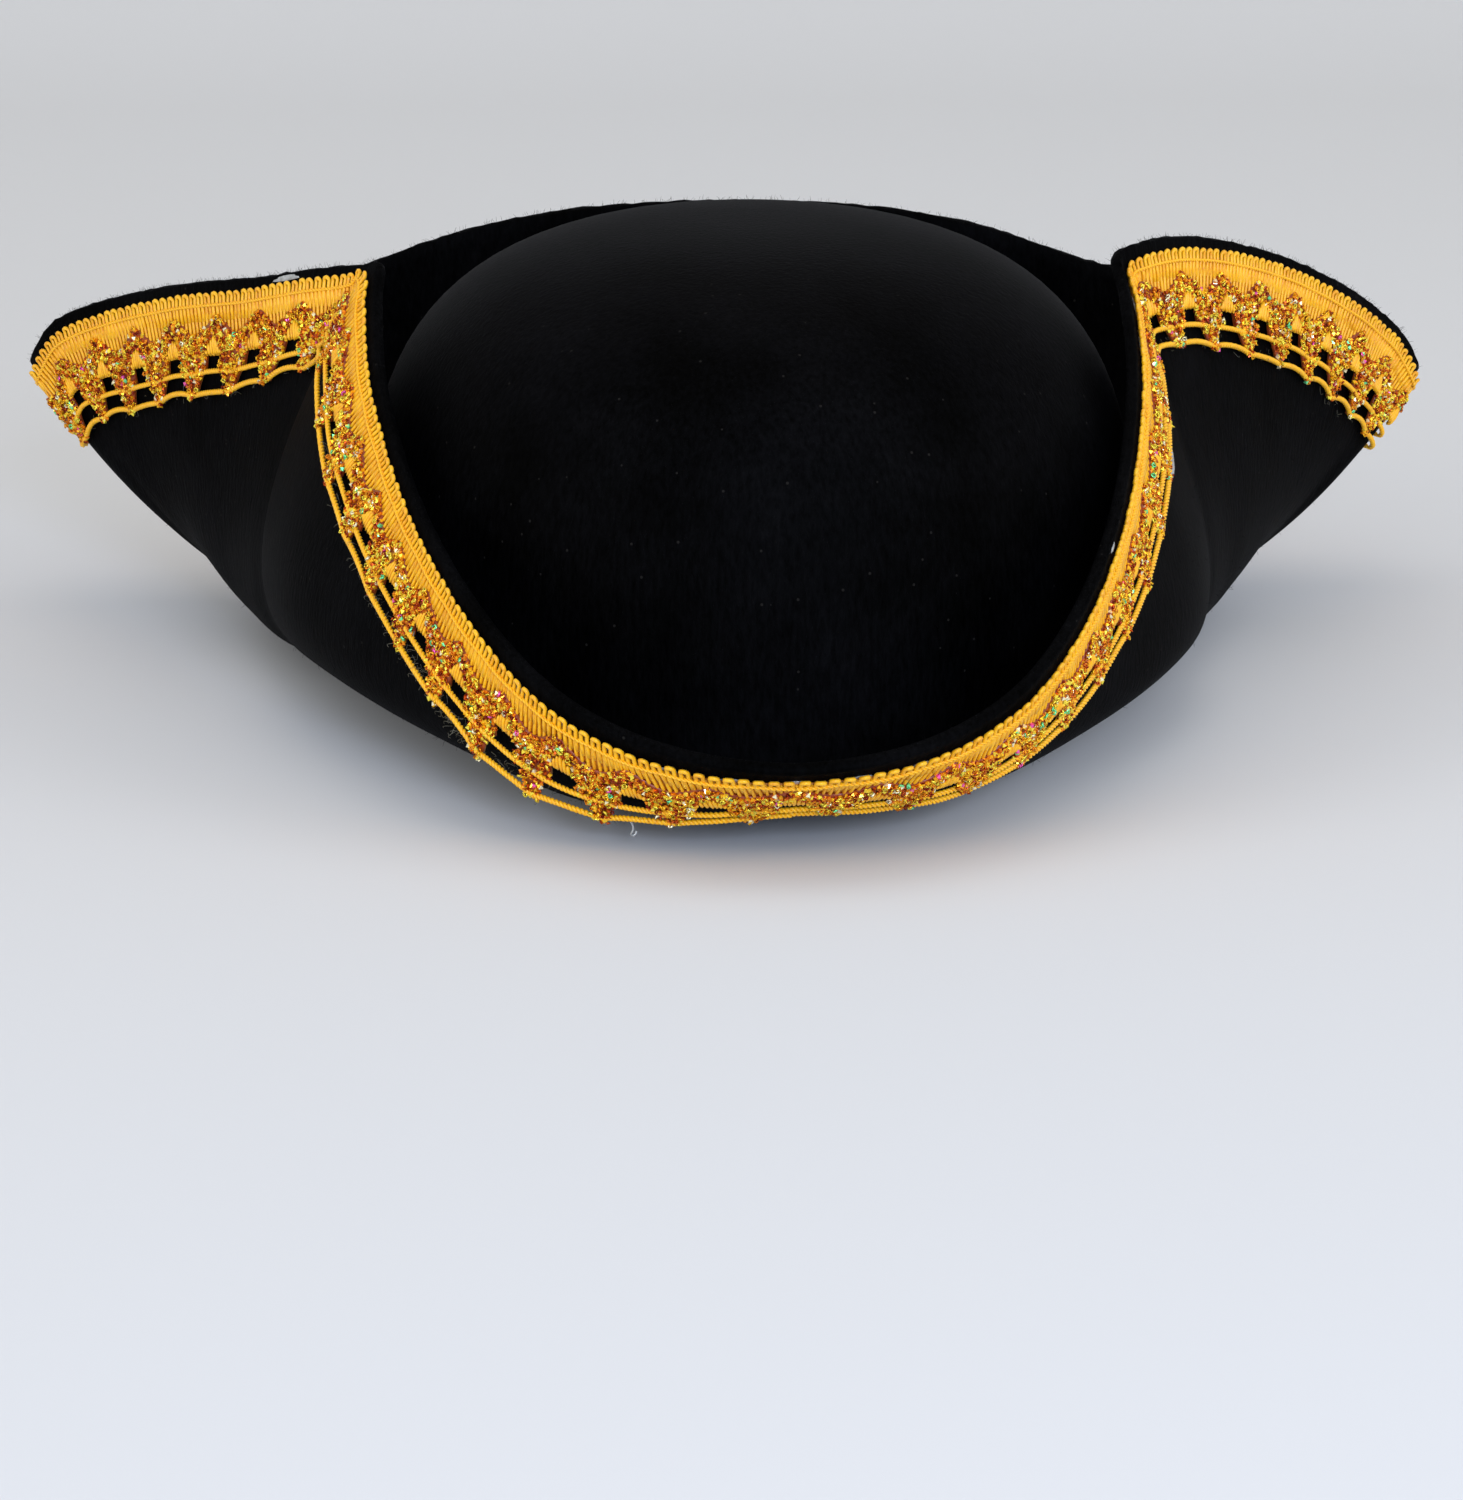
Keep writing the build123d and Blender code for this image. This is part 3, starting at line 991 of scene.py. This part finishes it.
@dataclass
class Galloon:
    """Gold openwork trim on the brim's underside: band, scroll, bars and two cords.

    All sizes are in millimetres. Bands, windows, cords and bars are placed by how far back from the rim
    they lie, and the stretch and spring by how far along the rim they are from the front.
    """

    brim: Brim
    yarn: Material
    # Darker copy of the gold yarn, used as painted shade on the band's ground.
    shade_darkened_yarn: Material
    lurex: Material
    core: Material
    repeats: int = 60
    loops_a_repeat: int = 6
    band_near: float = 2.0
    slit_end: float = 4.9
    band_far: float = 8.4
    window_half: float = 3.1
    window_top: float = 14.4
    scroll_middle: float = 9.2
    scroll_wave: float = 1.5
    knob_height: float = 0.7
    knob_half: float = 1.5
    arch_rise: float = 3.0
    core_lift: float = 0.3
    core_thickness: float = 0.85
    inner_cord: float = 18.5
    outer_cord: float = 22.4
    bar_backs: tuple[float, ...] = (12.4, 14.4, 17.8, 19.0, 20.6, 22.5, 23.1)
    bar_halves: tuple[float, ...] = (5.2, 5.5, 5.4, 3.7, 2.6, 2.1, 1.2)
    stretch_start: float = 8.0
    stretch_most: float = 0.2
    stretch_place: float = 275.0
    stretch_reach: float = 62.0
    spring_place: float = 62.0
    spring_reach: float = 40.0
    spring_height: float = 3.2
    spring_from: float = 11.0
    scroll_curls: int = 5900
    bar_curls: int = 5900
    glitter_knots: int = 9500
    glitter_radius: float = 0.5
    loop_thread: float = 0.44
    loop_lift: float = 0.75
    satin_thread: float = 0.37
    satin_far: float = 12.4
    satin_lift: float = 0.55
    web_lift: float = 1.15
    knot_thread: float = 0.27
    curl_thread: float = 0.2
    cord_samples: int = 3600
    cord_twist: float = 2.0
    rim_hairs: int = 240
    front_hairs: int = 260
    hair_radius: float = 0.045
    seed: int = 21

    @property
    def pitch(self) -> float:
        """Length of one repeat along the rim, in millimetres."""
        return self.brim.rim_length / self.repeats

    def place(self, run: Array, back: Array, lift: Array) -> tuple[Array, ...]:
        """Place trim on the felt.

        The lace is pulled wider along both side flaps, and left of the front it springs off the felt.

        Args:
            run: Millimetres along the rim.
            back: Millimetres back from the rim.
            lift: Millimetres off the felt where the trim lies flat.

        Returns:
            Points, directions along the rim, directions up to the rim, and normals off the felt.
        """
        run, back = np.mod(np.asarray(run, float), self.brim.rim_length), np.asarray(back, float)
        away = (run - (self.brim.rim_length - self.spring_place)) / self.spring_reach
        free = np.clip((back - self.spring_from) / self.spring_from, 0, 1.1) ** 2
        side = np.minimum(run, self.brim.rim_length - run)
        pull = self.stretch_most * np.exp(-(((side - self.stretch_place) / self.stretch_reach) ** 4))
        back = back + np.maximum(back - self.stretch_start, 0) * pull
        return self.brim.trim_frames(run, back, lift + self.spring_height * np.exp(-(away**2)) * free)

    def plates(self, name: str, run: Array, back: Array, lift: Array, ring: bool) -> Piece:
        """Skin closed sections that lie on the felt.

        Args:
            name: Name of the object.
            run: Millimetres along the rim, shaped (plates, sections, corners).
            back: Millimetres back from the rim, in the same shape.
            lift: Millimetres off the felt, in the same shape.
            ring: Whether each plate's last section joins its first.

        Returns:
            The plates as one object.
        """
        count, rows, corners = run.shape
        points = self.place(run.ravel(), back.ravel(), lift.ravel())[0]
        starts = np.arange(count) * rows * corners
        return mesh_object(name, points, [f for s in starts for f in skin_faces(rows, corners, ring, int(s))])

    def strip(self, name: str, near: Array, far: Array, lift: float, thickness: float) -> Piece:
        """Make a thin closed strip all round the brim.

        Args:
            name: Name of the piece.
            near: Edge nearer the rim at each sample, millimetres back from it.
            far: Other edge at each sample.
            lift: Height of the strip's under face off the felt.
            thickness: Thickness of the strip.

        Returns:
            The strip.
        """
        run = np.linspace(0, self.brim.rim_length, len(near), endpoint=False)
        shares = np.array([0, 0.5, 1, 1, 0.5, 0])
        heights = np.array([0, 0, 0, 1, 1, 1]) * thickness + lift
        back = near[:, None] + (far - near)[:, None] * shares
        runs = np.repeat(run[:, None], 6, 1)
        return self.plates(name, runs[None], back[None], (heights + 0 * runs)[None], True)

    def from_window(self, run: Array) -> Array:
        """Give the distance along the rim from the middle of the nearest window."""
        return np.mod(run + self.pitch / 2, self.pitch) - self.pitch / 2

    def scroll_top(self, run: Array) -> Array:
        """Give the scroll's upper edge, a wave with a knob above each window.

        Args:
            run: Millimetres along the rim.

        Returns:
            Millimetres back from the rim.
        """
        away = self.from_window(run)
        wave = self.scroll_wave * np.cos(2 * math.pi * away / self.pitch)
        return self.scroll_middle - wave - self.knob_height * np.exp(-((away / self.knob_half) ** 2))

    def arch(self, run: Array) -> Array:
        """Give the scroll's lower edge, which arches over each window.

        Args:
            run: Millimetres along the rim.

        Returns:
            Millimetres back from the rim.
        """
        share = np.minimum(np.abs(self.from_window(run)) / self.window_half, 1)
        return self.window_top - self.arch_rise * (1 - share**1.6)

    def scatter(
        self, name: str, shape: Piece, run: Array, back: Array | float,
        lift: Array | float, finish: Material, stretch: Array | float = 1.0, **spreads: float,
    ) -> Piece:
        """Set copies of a small shape on the trim.

        Args:
            name: Name of the result.
            shape: The small shape, which is used up.
            run: Millimetres along the rim, one value a copy.
            back: Millimetres back from the rim.
            lift: Millimetres off the felt.
            finish: Material of the copies.
            stretch: Scale of each copy along its own axes.
            **spreads: Spreads and seed of the row.

        Returns:
            The copies.
        """
        flat = np.zeros(len(run))
        point, along, _, normal = self.place(run, back + flat, lift + flat)
        stretch = stretch * np.ones((len(run), 3))
        return ShapeRow(name, **spreads).make(shape, point, normal, along, stretch, finish)

    def band(self) -> None:
        """Build the woven band: hairpin loops with open slits over satin threads and a ground, whose darker
        yarn is painted shade.
        """
        count = self.repeats * self.loops_a_repeat
        step = self.brim.rim_length / count
        run = (np.arange(count) + 0.5) * step
        centre = (self.band_near + self.band_far) / 2
        half, leg, thick = (self.band_far - self.band_near) / 2, step / 4, self.loop_thread
        turn = np.linspace(0, math.pi, 7)
        top = half - leg - thick
        arc = np.stack([leg * np.cos(turn), top + leg * np.sin(turn), 0.3 * np.sin(turn)], 1)
        down = np.array([[leg, y, z] for y, z in ((-half, -0.2), (-half * 0.4, 0.05), (half * 0.3, 0.1))])
        path = np.vstack([down, arc, down[::-1] * (-1, 1, 1)])
        loops = self.scatter(
            "band_loops", tubes_object("hairpin", [path], thick, 6), run, centre, self.loop_lift, self.yarn,
            turn_spread=0.05, tilt_spread=0.05, size_spread=0.04, seed=5,
        )
        run = np.arange(2 * count) * step / 2
        near, far = self.slit_end, self.satin_far
        line = np.linspace(-1, 1, 5)
        path = np.stack([0 * line, line * (far - near) / 2, 0.15 * (1 - line**2)], 1)
        shape = tubes_object("satin_thread", [path], self.satin_thread, 5)
        satin = self.scatter(
            "band_satin", shape, run, (near + far) / 2, self.satin_lift, self.yarn,
            turn_spread=0.05, tilt_spread=0.03, size_spread=0.04, seed=6,
        )
        samples = np.ones(2 * count)
        # The ground is a real part of the band; its darker yarn is painted shade beneath the loops and satin
        # threads.
        ground = self.strip(
            "band_ground", samples * (self.slit_end - 0.1), samples * (self.window_top - 0.1), 0.1, 0.35
        )
        dress(ground, self.shade_darkened_yarn, 0.5)
        settle(join_objects("galloon_band", [ground, loops, satin]), Slot.YARN, "trim_band")

    def curl(self) -> Piece:
        """Make one small curl of metallic yarn.

        Returns:
            The curl, about its own origin.
        """
        turn = np.linspace(0, 2 * math.pi, 6)[:-1]
        path = np.stack([0.4 * np.cos(turn), 0.34 * np.sin(turn), 0.12 * np.sin(2 * turn)], 1)
        return tubes_object("curl", [path], self.curl_thread, 3, True)

    def facet(self) -> Piece:
        """Make one small faceted knot of metallic yarn.

        Returns:
            The knot, about its own origin.
        """
        corners = np.array([(1, 0, 0), (-1, 0, 0), (0, 1, 0), (0, -1, 0), (0, 0, 1), (0, 0, -1)])
        faces = [(a, b, c) for a in (0, 1) for b in (2, 3) for c in (4, 5)]
        return mesh_object("facet", corners * self.glitter_radius, faces, smooth=False)

    def scroll_spots(self, chance: np.random.Generator, count: int, inset: float) -> tuple[Array, Array]:
        """Choose spots on the scroll.

        Args:
            chance: Source of the random draws.
            count: Number of spots.
            inset: Millimetres that the spots keep from the scroll's upper edge.

        Returns:
            Millimetres along and back from the rim.
        """
        run = chance.uniform(0, self.brim.rim_length, count)
        top, low = self.scroll_top(run) + inset, self.arch(run) - 0.2
        return run, top + (low - top) * chance.uniform(0, 1, count)

    def bar_spots(self, chance: np.random.Generator, count: int, inset: float) -> tuple[Array, Array]:
        """Choose spots on the bars, evenly spread over their tapered shape.

        Args:
            chance: Source of the random draws.
            count: Number of spots.
            inset: Millimetres that the spots keep from the bars' near end.

        Returns:
            Millimetres along and back from the rim.
        """
        back = chance.uniform(self.bar_backs[0] + inset, self.bar_backs[-1], 3 * count)
        half = np.interp(back, self.bar_backs, self.bar_halves)
        kept = np.flatnonzero(chance.uniform(0, max(self.bar_halves), len(back)) < half)[:count]
        run = (chance.integers(0, self.repeats, len(kept)) + 0.5) * self.pitch
        return run + chance.uniform(-1, 1, len(kept)) * half[kept], back[kept]

    def scroll(self) -> None:
        """Build the glitter scroll: a dark core under many small curls and knots of metallic yarn; the core's
        dark red brown is partly its own colour and partly painted shade between the curls.
        """
        chance = np.random.default_rng(self.seed)
        run, back = self.scroll_spots(chance, self.scroll_curls, 0.35)
        lift = 1.15 + chance.uniform(0, 0.7, len(run))
        curls = self.scatter("scroll_curls", self.curl(), run, back, lift, self.lurex, seed=7, **CURL_SPREADS)
        run, back = self.scroll_spots(chance, self.glitter_knots, 0.4)
        lift = 1.15 + chance.uniform(0, 0.35, len(run))
        knots = self.scatter(
            "scroll_glitter", self.facet(), run, back, lift, self.lurex, seed=27, **KNOT_SPREADS
        )
        settle(knots, Slot.GIMP)
        steps = np.linspace(0, self.brim.rim_length, 1800, endpoint=False)
        # Dark core: partly the gimp's own red-brown core, partly painted shade seen between the curls.
        core = self.strip(
            "scroll_core", self.scroll_top(steps) + 0.3, self.arch(steps), self.core_lift, self.core_thickness
        )
        dress(core, self.core, 0.5)
        settle(join_objects("galloon_scroll", [core, curls]), Slot.GIMP, "trim_gimp")

    def bars(self) -> None:
        """Build the bars between the windows, which narrow to a knot on the outer cord."""
        chance = np.random.default_rng(self.seed + 1)
        middle = (np.arange(self.repeats) + 0.5) * self.pitch
        run, back = self.bar_spots(chance, self.bar_curls, 0.6)
        lift = 1.0 + chance.uniform(0, 0.8, len(run))
        curls = self.scatter("bar_curls", self.curl(), run, back, lift, self.lurex, seed=8, **CURL_SPREADS)
        run, back = self.bar_spots(chance, self.glitter_knots, 0.4)
        lift = 1.0 + chance.uniform(0, 0.4, len(run))
        knots = self.scatter(
            "bar_glitter", self.facet(), run, back, lift, self.lurex, seed=28, **KNOT_SPREADS
        )
        settle(knots, Slot.GIMP)
        backs, halves = np.array(self.bar_backs[:-1]), np.array(self.bar_halves[:-1]) - 0.3
        sides = np.array([-1, -0.9, 0.9, 1])
        runs = middle[:, None, None] + halves[None, :, None] * sides
        heights = np.array([0.35, 1.0, 1.0, 0.35])
        flat = 0 * runs
        # Dark core: partly the gimp's own red-brown core, partly painted shade seen between the curls.
        core = self.plates("bar_core", runs, backs[None, :, None] + flat, heights + flat, False)
        dress(core, self.core, 0.5)
        settle(join_objects("galloon_bars", [core, curls]), Slot.GIMP)

    def web(self) -> None:
        """Build the beaded yellow stitches that fill the arch over each window."""
        places = np.arange(self.repeats) * self.pitch
        fan = np.linspace(-1, 1, 7)
        run = (places[:, None] + fan[None] * (self.window_half - 0.3)).ravel()
        top = self.arch(run) + 0.1
        low = self.window_top + 0.35
        line = np.linspace(-0.5, 0.5, 5)
        path = np.stack([0 * line, line, 0.3 * (1 - 4 * line**2)], 1)
        shape = tubes_object("satin_stitch", [path], np.array([0.34, 0.42, 0.42, 0.42, 0.34]), 6)
        stretch = np.stack([0 * top + 1, low - top, 0 * top + 1], 1)
        fans = self.scatter(
            "web_fans", shape, run, (top + low) / 2, self.web_lift, self.yarn, stretch,
            turn_spread=0.04, size_spread=0.05, seed=9,
        )
        beads = np.linspace(-1, 1, 5)
        run = (places[:, None] + beads[None] * self.window_half).ravel()
        turn = np.linspace(0, 2 * math.pi, 8)[:-1]
        path = np.stack([0.34 * np.cos(turn), 0.26 * np.sin(turn), 0.1 * np.sin(2 * turn)], 1)
        knots = self.scatter(
            "web_knots", tubes_object("knot", [path], self.knot_thread, 4, True), run, low - 0.05,
            self.web_lift - 0.1, self.yarn, turn_spread=0.3, tilt_spread=0.3, size_spread=0.15, seed=13,
        )
        settle(join_objects("galloon_web", [fans, knots]), Slot.YARN)

    def cord(self, name: str, back: float, sag: float, radius: float, *nodes: str) -> None:
        """Build a two-ply twisted cord that arches towards the rim between the bars.

        Args:
            name: Name of the piece.
            back: Millimetres back from the rim at the bars.
            sag: Height of the highest arch.
            radius: Radius of one ply, in millimetres.
            *nodes: CAD node that the cord stands for, if any.
        """
        run = np.linspace(0, self.brim.rim_length, self.cord_samples, endpoint=False)
        share = 1 - (2 * self.from_window(run) / self.pitch) ** 2
        window = np.mod(np.round(run / self.pitch).astype(int), self.repeats)
        height = np.random.default_rng(self.seed + round(back)).uniform(0.15, 1, self.repeats)[window]
        point, _, upward, normal = self.place(run, back - sag * height * share, 1.0 + 0.3 * share)
        twists = round(self.brim.rim_length / self.cord_twist)
        paths = []
        for ply in range(2):
            turn = (2 * math.pi * twists * run / self.brim.rim_length + math.pi * ply)[:, None]
            paths.append(point + (upward * np.cos(turn) + normal * np.sin(turn)) * radius * 0.85)
        made = tubes_object(name, paths, radius, 5, True)
        dress(made, self.yarn, 0.6)
        settle(made, Slot.YARN, *nodes)

    def fluff(self, finish: Material) -> None:
        """Pull loose hairs out of the felt beside the outer cord, most of them left of the front.

        Args:
            finish: Material of the hairs.
        """
        chance = np.random.default_rng(self.seed + 4)
        near = self.brim.rim_length - chance.normal(100.0, 32.0, self.front_hairs)
        run = np.concatenate([near, chance.uniform(0, self.brim.rim_length, self.rim_hairs)])
        count = len(run)
        back = self.outer_cord + chance.uniform(-2.5, 1.2, count)
        point, along, upward, normal = self.place(run, back, np.full(count, 0.3))
        bend = np.linspace(0, 1, 6)
        path = np.stack([np.sin(2.4 * bend), 0.25 * bend, 1.3 * bend * (1 - 0.35 * bend)], 1)
        shape = tubes_object("hair", [path], self.hair_radius * (1 - 0.5 * bend), 3)
        droop = chance.uniform(0.2, 1.6, (count, 1))
        lean = unit(normal - upward * droop + along * chance.normal(0, 0.7, (count, 1)))
        size = chance.uniform(0.6, 1.9, (count, 1)) * np.ones((count, 3))
        hairs = ShapeRow("loose_hairs", turn_spread=3.1, tilt_spread=0.3, seed=19).make(
            shape, point, lean, along, size, finish
        )
        settle(hairs, Slot.FELT)

    def make(self) -> None:
        """Build the whole galloon."""
        self.band()
        self.scroll()
        self.bars()
        self.web()
        self.cord("galloon_chain_line", self.slit_end, 0.0, 0.24)
        self.cord("galloon_inner_cord", self.inner_cord, 0.5, 0.35, "trim_inner_cord")
        self.cord("galloon_outer_cord", self.outer_cord, 1.4, 0.37, "trim_outer_cord")


@dataclass
class GlueDabs:
    """Hot glue under the galloon, with the dabs and thread of it that show beside the trim."""

    brim: Brim
    galloon: Galloon
    finish: Material
    hidden: int = 80
    rings: int = 4
    sides: int = 14
    thread_back: float = 22.4
    thread_radius: float = 0.22

    def make(self) -> None:
        """Build the glue."""
        length = self.brim.rim_length
        dabs = [(k * length / self.hidden, 5.8, 3.0, 1.7, 0.3) for k in range(self.hidden)]
        scrap, smear = (172.0, 26.0, 5.6, 1.4, 0.8), (length - 232.0, 0.9, 4.8, 0.7, 0.1)
        dabs += [scrap, smear, (104.0, 0.9, 1.8, 0.6, 0.25)]
        points, faces = [], []
        rings, sides = self.rings, self.sides
        turn = 2 * math.pi * np.arange(sides) / sides
        for number, (run, back, long_half, short_half, height) in enumerate(dabs):
            for ring in range(rings):
                size = math.cos(math.pi / 2 * ring / rings)
                wave = 1 + 0.14 * np.sin(3 * turn + run) + 0.08 * np.sin(5 * turn)
                runs = run + long_half * size * wave * np.cos(turn)
                backs = np.maximum(back + short_half * size * wave * np.sin(turn), 0.05)
                lift = np.full(sides, height * math.sin(math.pi / 2 * ring / rings) + 0.02)
                points.append(self.brim.trim_frames(runs, backs, lift)[0])
            faces += skin_faces(rings, sides, False, number * rings * sides)
        blobs = mesh_object("glue_dabs", np.vstack(points), faces)
        root = self.galloon.place(np.array([length - 36.0]), np.array([self.thread_back]), np.array([1.0]))[0]
        line = np.linspace(0, 1, 12)[:, None]
        hook = root + line * (0, 0, -2.6) + np.sin(line * math.pi) * (0.5, 0, 0)
        hook = np.vstack([hook, hook[-1] + [(0.5, 0, -0.3), (1.0, 0, 0.1), (1.1, 0, 0.7)]])
        made = join_objects("glue", [blobs, tubes_object("glue_thread", [hook], self.thread_radius, 6)])
        made.data.materials.append(self.finish)
        settle(made, Slot.GLUE, "trim_glue")


@dataclass
class Sweatband:
    """Corded ribbon inside the crown, with the running stitches that hold it."""

    ribbon: Material
    thread: Material
    half_width: float = 79.1
    half_length: float = 93.4
    thickness: float = 0.8
    foot: float = 4.0
    height: float = 30.0
    stitches: int = 60

    def ring(self, turn: Array, inset: float, level: float) -> Array:
        """Place points on the ribbon.

        Args:
            turn: Angles round the ribbon from the front.
            inset: Millimetres in from the outer face.
            level: Millimetres above the ribbon's lower edge.

        Returns:
            The points.
        """
        x = (self.half_width - inset) * np.sin(turn)
        y = -(self.half_length - inset) * np.cos(turn)
        base = foot_height(np.abs(np.arctan2(x, -y))) + self.foot
        return np.stack([x, y, base + level], 1)

    def make(self) -> None:
        """Build the ribbon and its stitches."""
        count = 240
        turn = 2 * math.pi * np.arange(count) / count
        levels = [0, 1, 3, 8, 15, 22, 27, 29, self.height]
        inner = [self.ring(turn, self.thickness - (0.3 if 2 < z < 28 else 0), z) for z in levels]
        outer = [self.ring(turn, 0, z) for z in levels]
        columns = np.stack(inner + outer[::-1], 1)
        wide = columns.shape[1]
        band = mesh_object("sweatband_ribbon", columns.reshape(-1, 3), skin_faces(count, wide, True))
        weave = band.data.uv_layers.new(name="weave")
        for face in band.data.polygons:
            column = face.index // wide
            for corner in face.loop_indices:
                vertex = band.data.loops[corner].vertex_index
                ahead = vertex // wide
                around = ahead if ahead or column < count - 1 else count
                weave.data[corner].uv = (around / count, vertex % wide / wide)
        band.data.materials.append(self.ribbon)
        settle(band, Slot.RIBBON, "sweatband")
        spots = 2 * math.pi * (np.arange(self.stitches) + 0.5) / self.stitches
        point = self.ring(spots, self.thickness + 0.15, 3.0)
        ahead = self.ring(spots + 0.01, self.thickness + 0.15, 3.0)
        along = unit(ahead - point)
        facing = unit(-point * (1, 1, 0))
        line = np.linspace(-1, 1, 7)
        path = np.stack([2.4 * line, 0 * line, 0.35 * (1 - line**2)], 1)
        shape = tubes_object("stitch", [path], 0.26, 6)
        seam = ShapeRow("sweatband_seam", tilt_spread=0.05, size_spread=0.06, seed=17).make(
            shape, point, facing, along, np.ones((self.stitches, 3)), self.thread
        )
        settle(seam, Slot.THREAD, "sweatband_stitching")


# ---------------------------------------------------------------- stage


@dataclass(frozen=True)
class Softbox:
    """One square softbox: where it hangs and its edge in metres, its power in watts and its colour."""

    name: str
    place: tuple[float, float, float]
    edge: float
    watts: float
    colour: str


@dataclass
class Studio:
    """Pale paper sweep, soft lights and the camera. The sweep is in millimetres."""

    paper: Material
    floor_gap: float = 0.4
    rise_start: float = 900.0
    rise_bend: float = 600.0
    paper_top: float = 3000.0
    paper_half_width: float = 4000.0
    softboxes: tuple[Softbox, ...] = (
        Softbox("key", (0.22, -1.5, 0.5), 0.45, 14.0, "#CFE0FF"),
        Softbox("left", (-1.5, -0.8, 0.6), 0.8, 6.0, "#FFFFFF"),
        Softbox("right", (1.5, -0.7, 0.7), 0.8, 6.0, "#FFFFFF"),
        Softbox("top", (0.0, 0.3, 1.8), 1.2, 3.5, "#FFF2E6"),
    )
    aim: tuple[float, float, float] = (0.0, 0.0, 0.06)
    room_colour: str = "#F4F4F2"
    room_strength: float = 0.75
    azimuth: float = -3.5
    elevation: float = 12.0
    distance: float = 1100.0
    target: tuple[float, float, float] = (0.0, 0.0, 50.0)
    lens_mm: float = 125.865
    swing: float = 0.2072
    dip: float = 3.245

    def sweep(self) -> None:
        """Build the floor and its curved rise behind the hat."""
        level = CAD_BOX[0][2] / MM - self.floor_gap
        turn = np.linspace(0, math.pi / 2, 16)
        bend, start, half = self.rise_bend, self.rise_start, self.paper_half_width
        y = np.concatenate([[-self.paper_top, 0.0], start + bend * np.sin(turn), [start + bend]])
        z = np.concatenate([[0.0, 0.0], bend * (1 - np.cos(turn)), [self.paper_top]])
        columns = [np.stack([np.full(len(y), x), y, z + level], 1) for x in (-half, half)]
        made = mesh_object("paper_sweep", np.vstack(columns), grid_faces(2, len(y), False))
        made.data.materials.append(self.paper)

    def lights(self) -> None:
        """Hang the softboxes, facing the hat, and set the room's pale light."""
        for box in self.softboxes:
            light = bpy.data.lights.new(box.name, "AREA")
            light.size = box.edge
            light.energy = box.watts
            light.color = linear(box.colour)[:3]
            lamp = bpy.data.objects.new(box.name, light)
            bpy.context.scene.collection.objects.link(lamp)
            lamp.location = box.place
            lamp.rotation_euler = (Vector(self.aim) - Vector(box.place)).to_track_quat("-Z", "Y").to_euler()
        world = bpy.data.worlds.new("room")
        world.use_nodes = True
        sky = world.node_tree.nodes["Background"].inputs
        sky["Color"].default_value = linear(self.room_colour)
        sky["Strength"].default_value = self.room_strength
        bpy.context.scene.world = world

    def camera(self) -> None:
        """Place the camera, swung a little to the left of the target and dipped below it."""
        az, el = math.radians(self.azimuth), math.radians(self.elevation)
        away = Vector((math.sin(az) * math.cos(el), -math.cos(az) * math.cos(el), math.sin(el)))
        place = Vector(self.target) + away * self.distance
        forward = -away
        right = forward.cross(Vector((0, 0, 1))).normalized()
        up = right.cross(forward)
        swing, dip = math.radians(self.swing), math.radians(self.dip)
        turned = forward * math.cos(swing) - right * math.sin(swing)
        right = right * math.cos(swing) + forward * math.sin(swing)
        axis = turned * math.cos(dip) - up * math.sin(dip)
        up = up * math.cos(dip) + turned * math.sin(dip)
        lens = bpy.data.cameras.new("camera")
        lens.sensor_fit = "HORIZONTAL"
        lens.sensor_width = 36.0
        lens.lens = self.lens_mm
        lens.clip_end = 20.0
        made = bpy.data.objects.new("camera", lens)
        bpy.context.scene.collection.objects.link(made)
        made.matrix_world = Matrix.Translation(place * MM) @ Matrix((right, up, -axis)).transposed().to_4x4()
        bpy.context.scene.camera = made


def main() -> None:
    """Build the stage and every piece of the hat in order."""
    logging.basicConfig(level=logging.INFO, format="%(name)s %(message)s")
    bpy.context.scene.view_settings.view_transform = "Standard"
    studio = Studio(MattPaint("studio_paper", "#DADBDD").material())
    studio.camera()
    studio.sweep()
    studio.lights()
    brim = Brim()
    felt = NeedledFelt().material()
    FeltHood(brim, felt).make()
    galloon = Galloon(
        brim,
        SatinYarn("golden_viscose_yarn", "#FFBE0E", "#E89406").material(),
        # Ground yarn: the gold yarn darkened as painted shade beneath the loops.
        SatinYarn("golden_ground_yarn", "#C87806", "#7A4203").material(),
        LurexGimp().material(),
        # Core yarn: its dark red brown is partly its own colour and partly painted shade between the curls.
        SatinYarn("copper_core_yarn", "#983A08", "#4A1404").material(),
    )
    galloon.make()
    galloon.fluff(SatinYarn("felt_hair", "#5A584C", "#2A2A24").material())
    GlueDabs(brim, galloon, HotGlue().material()).make()
    thread = SatinYarn("black_polyester_thread", "#26262A", "#0A0A0B").material()
    Sweatband(GrosgrainRibbon().material(), thread).make()


if __name__ == "__main__":
    main()
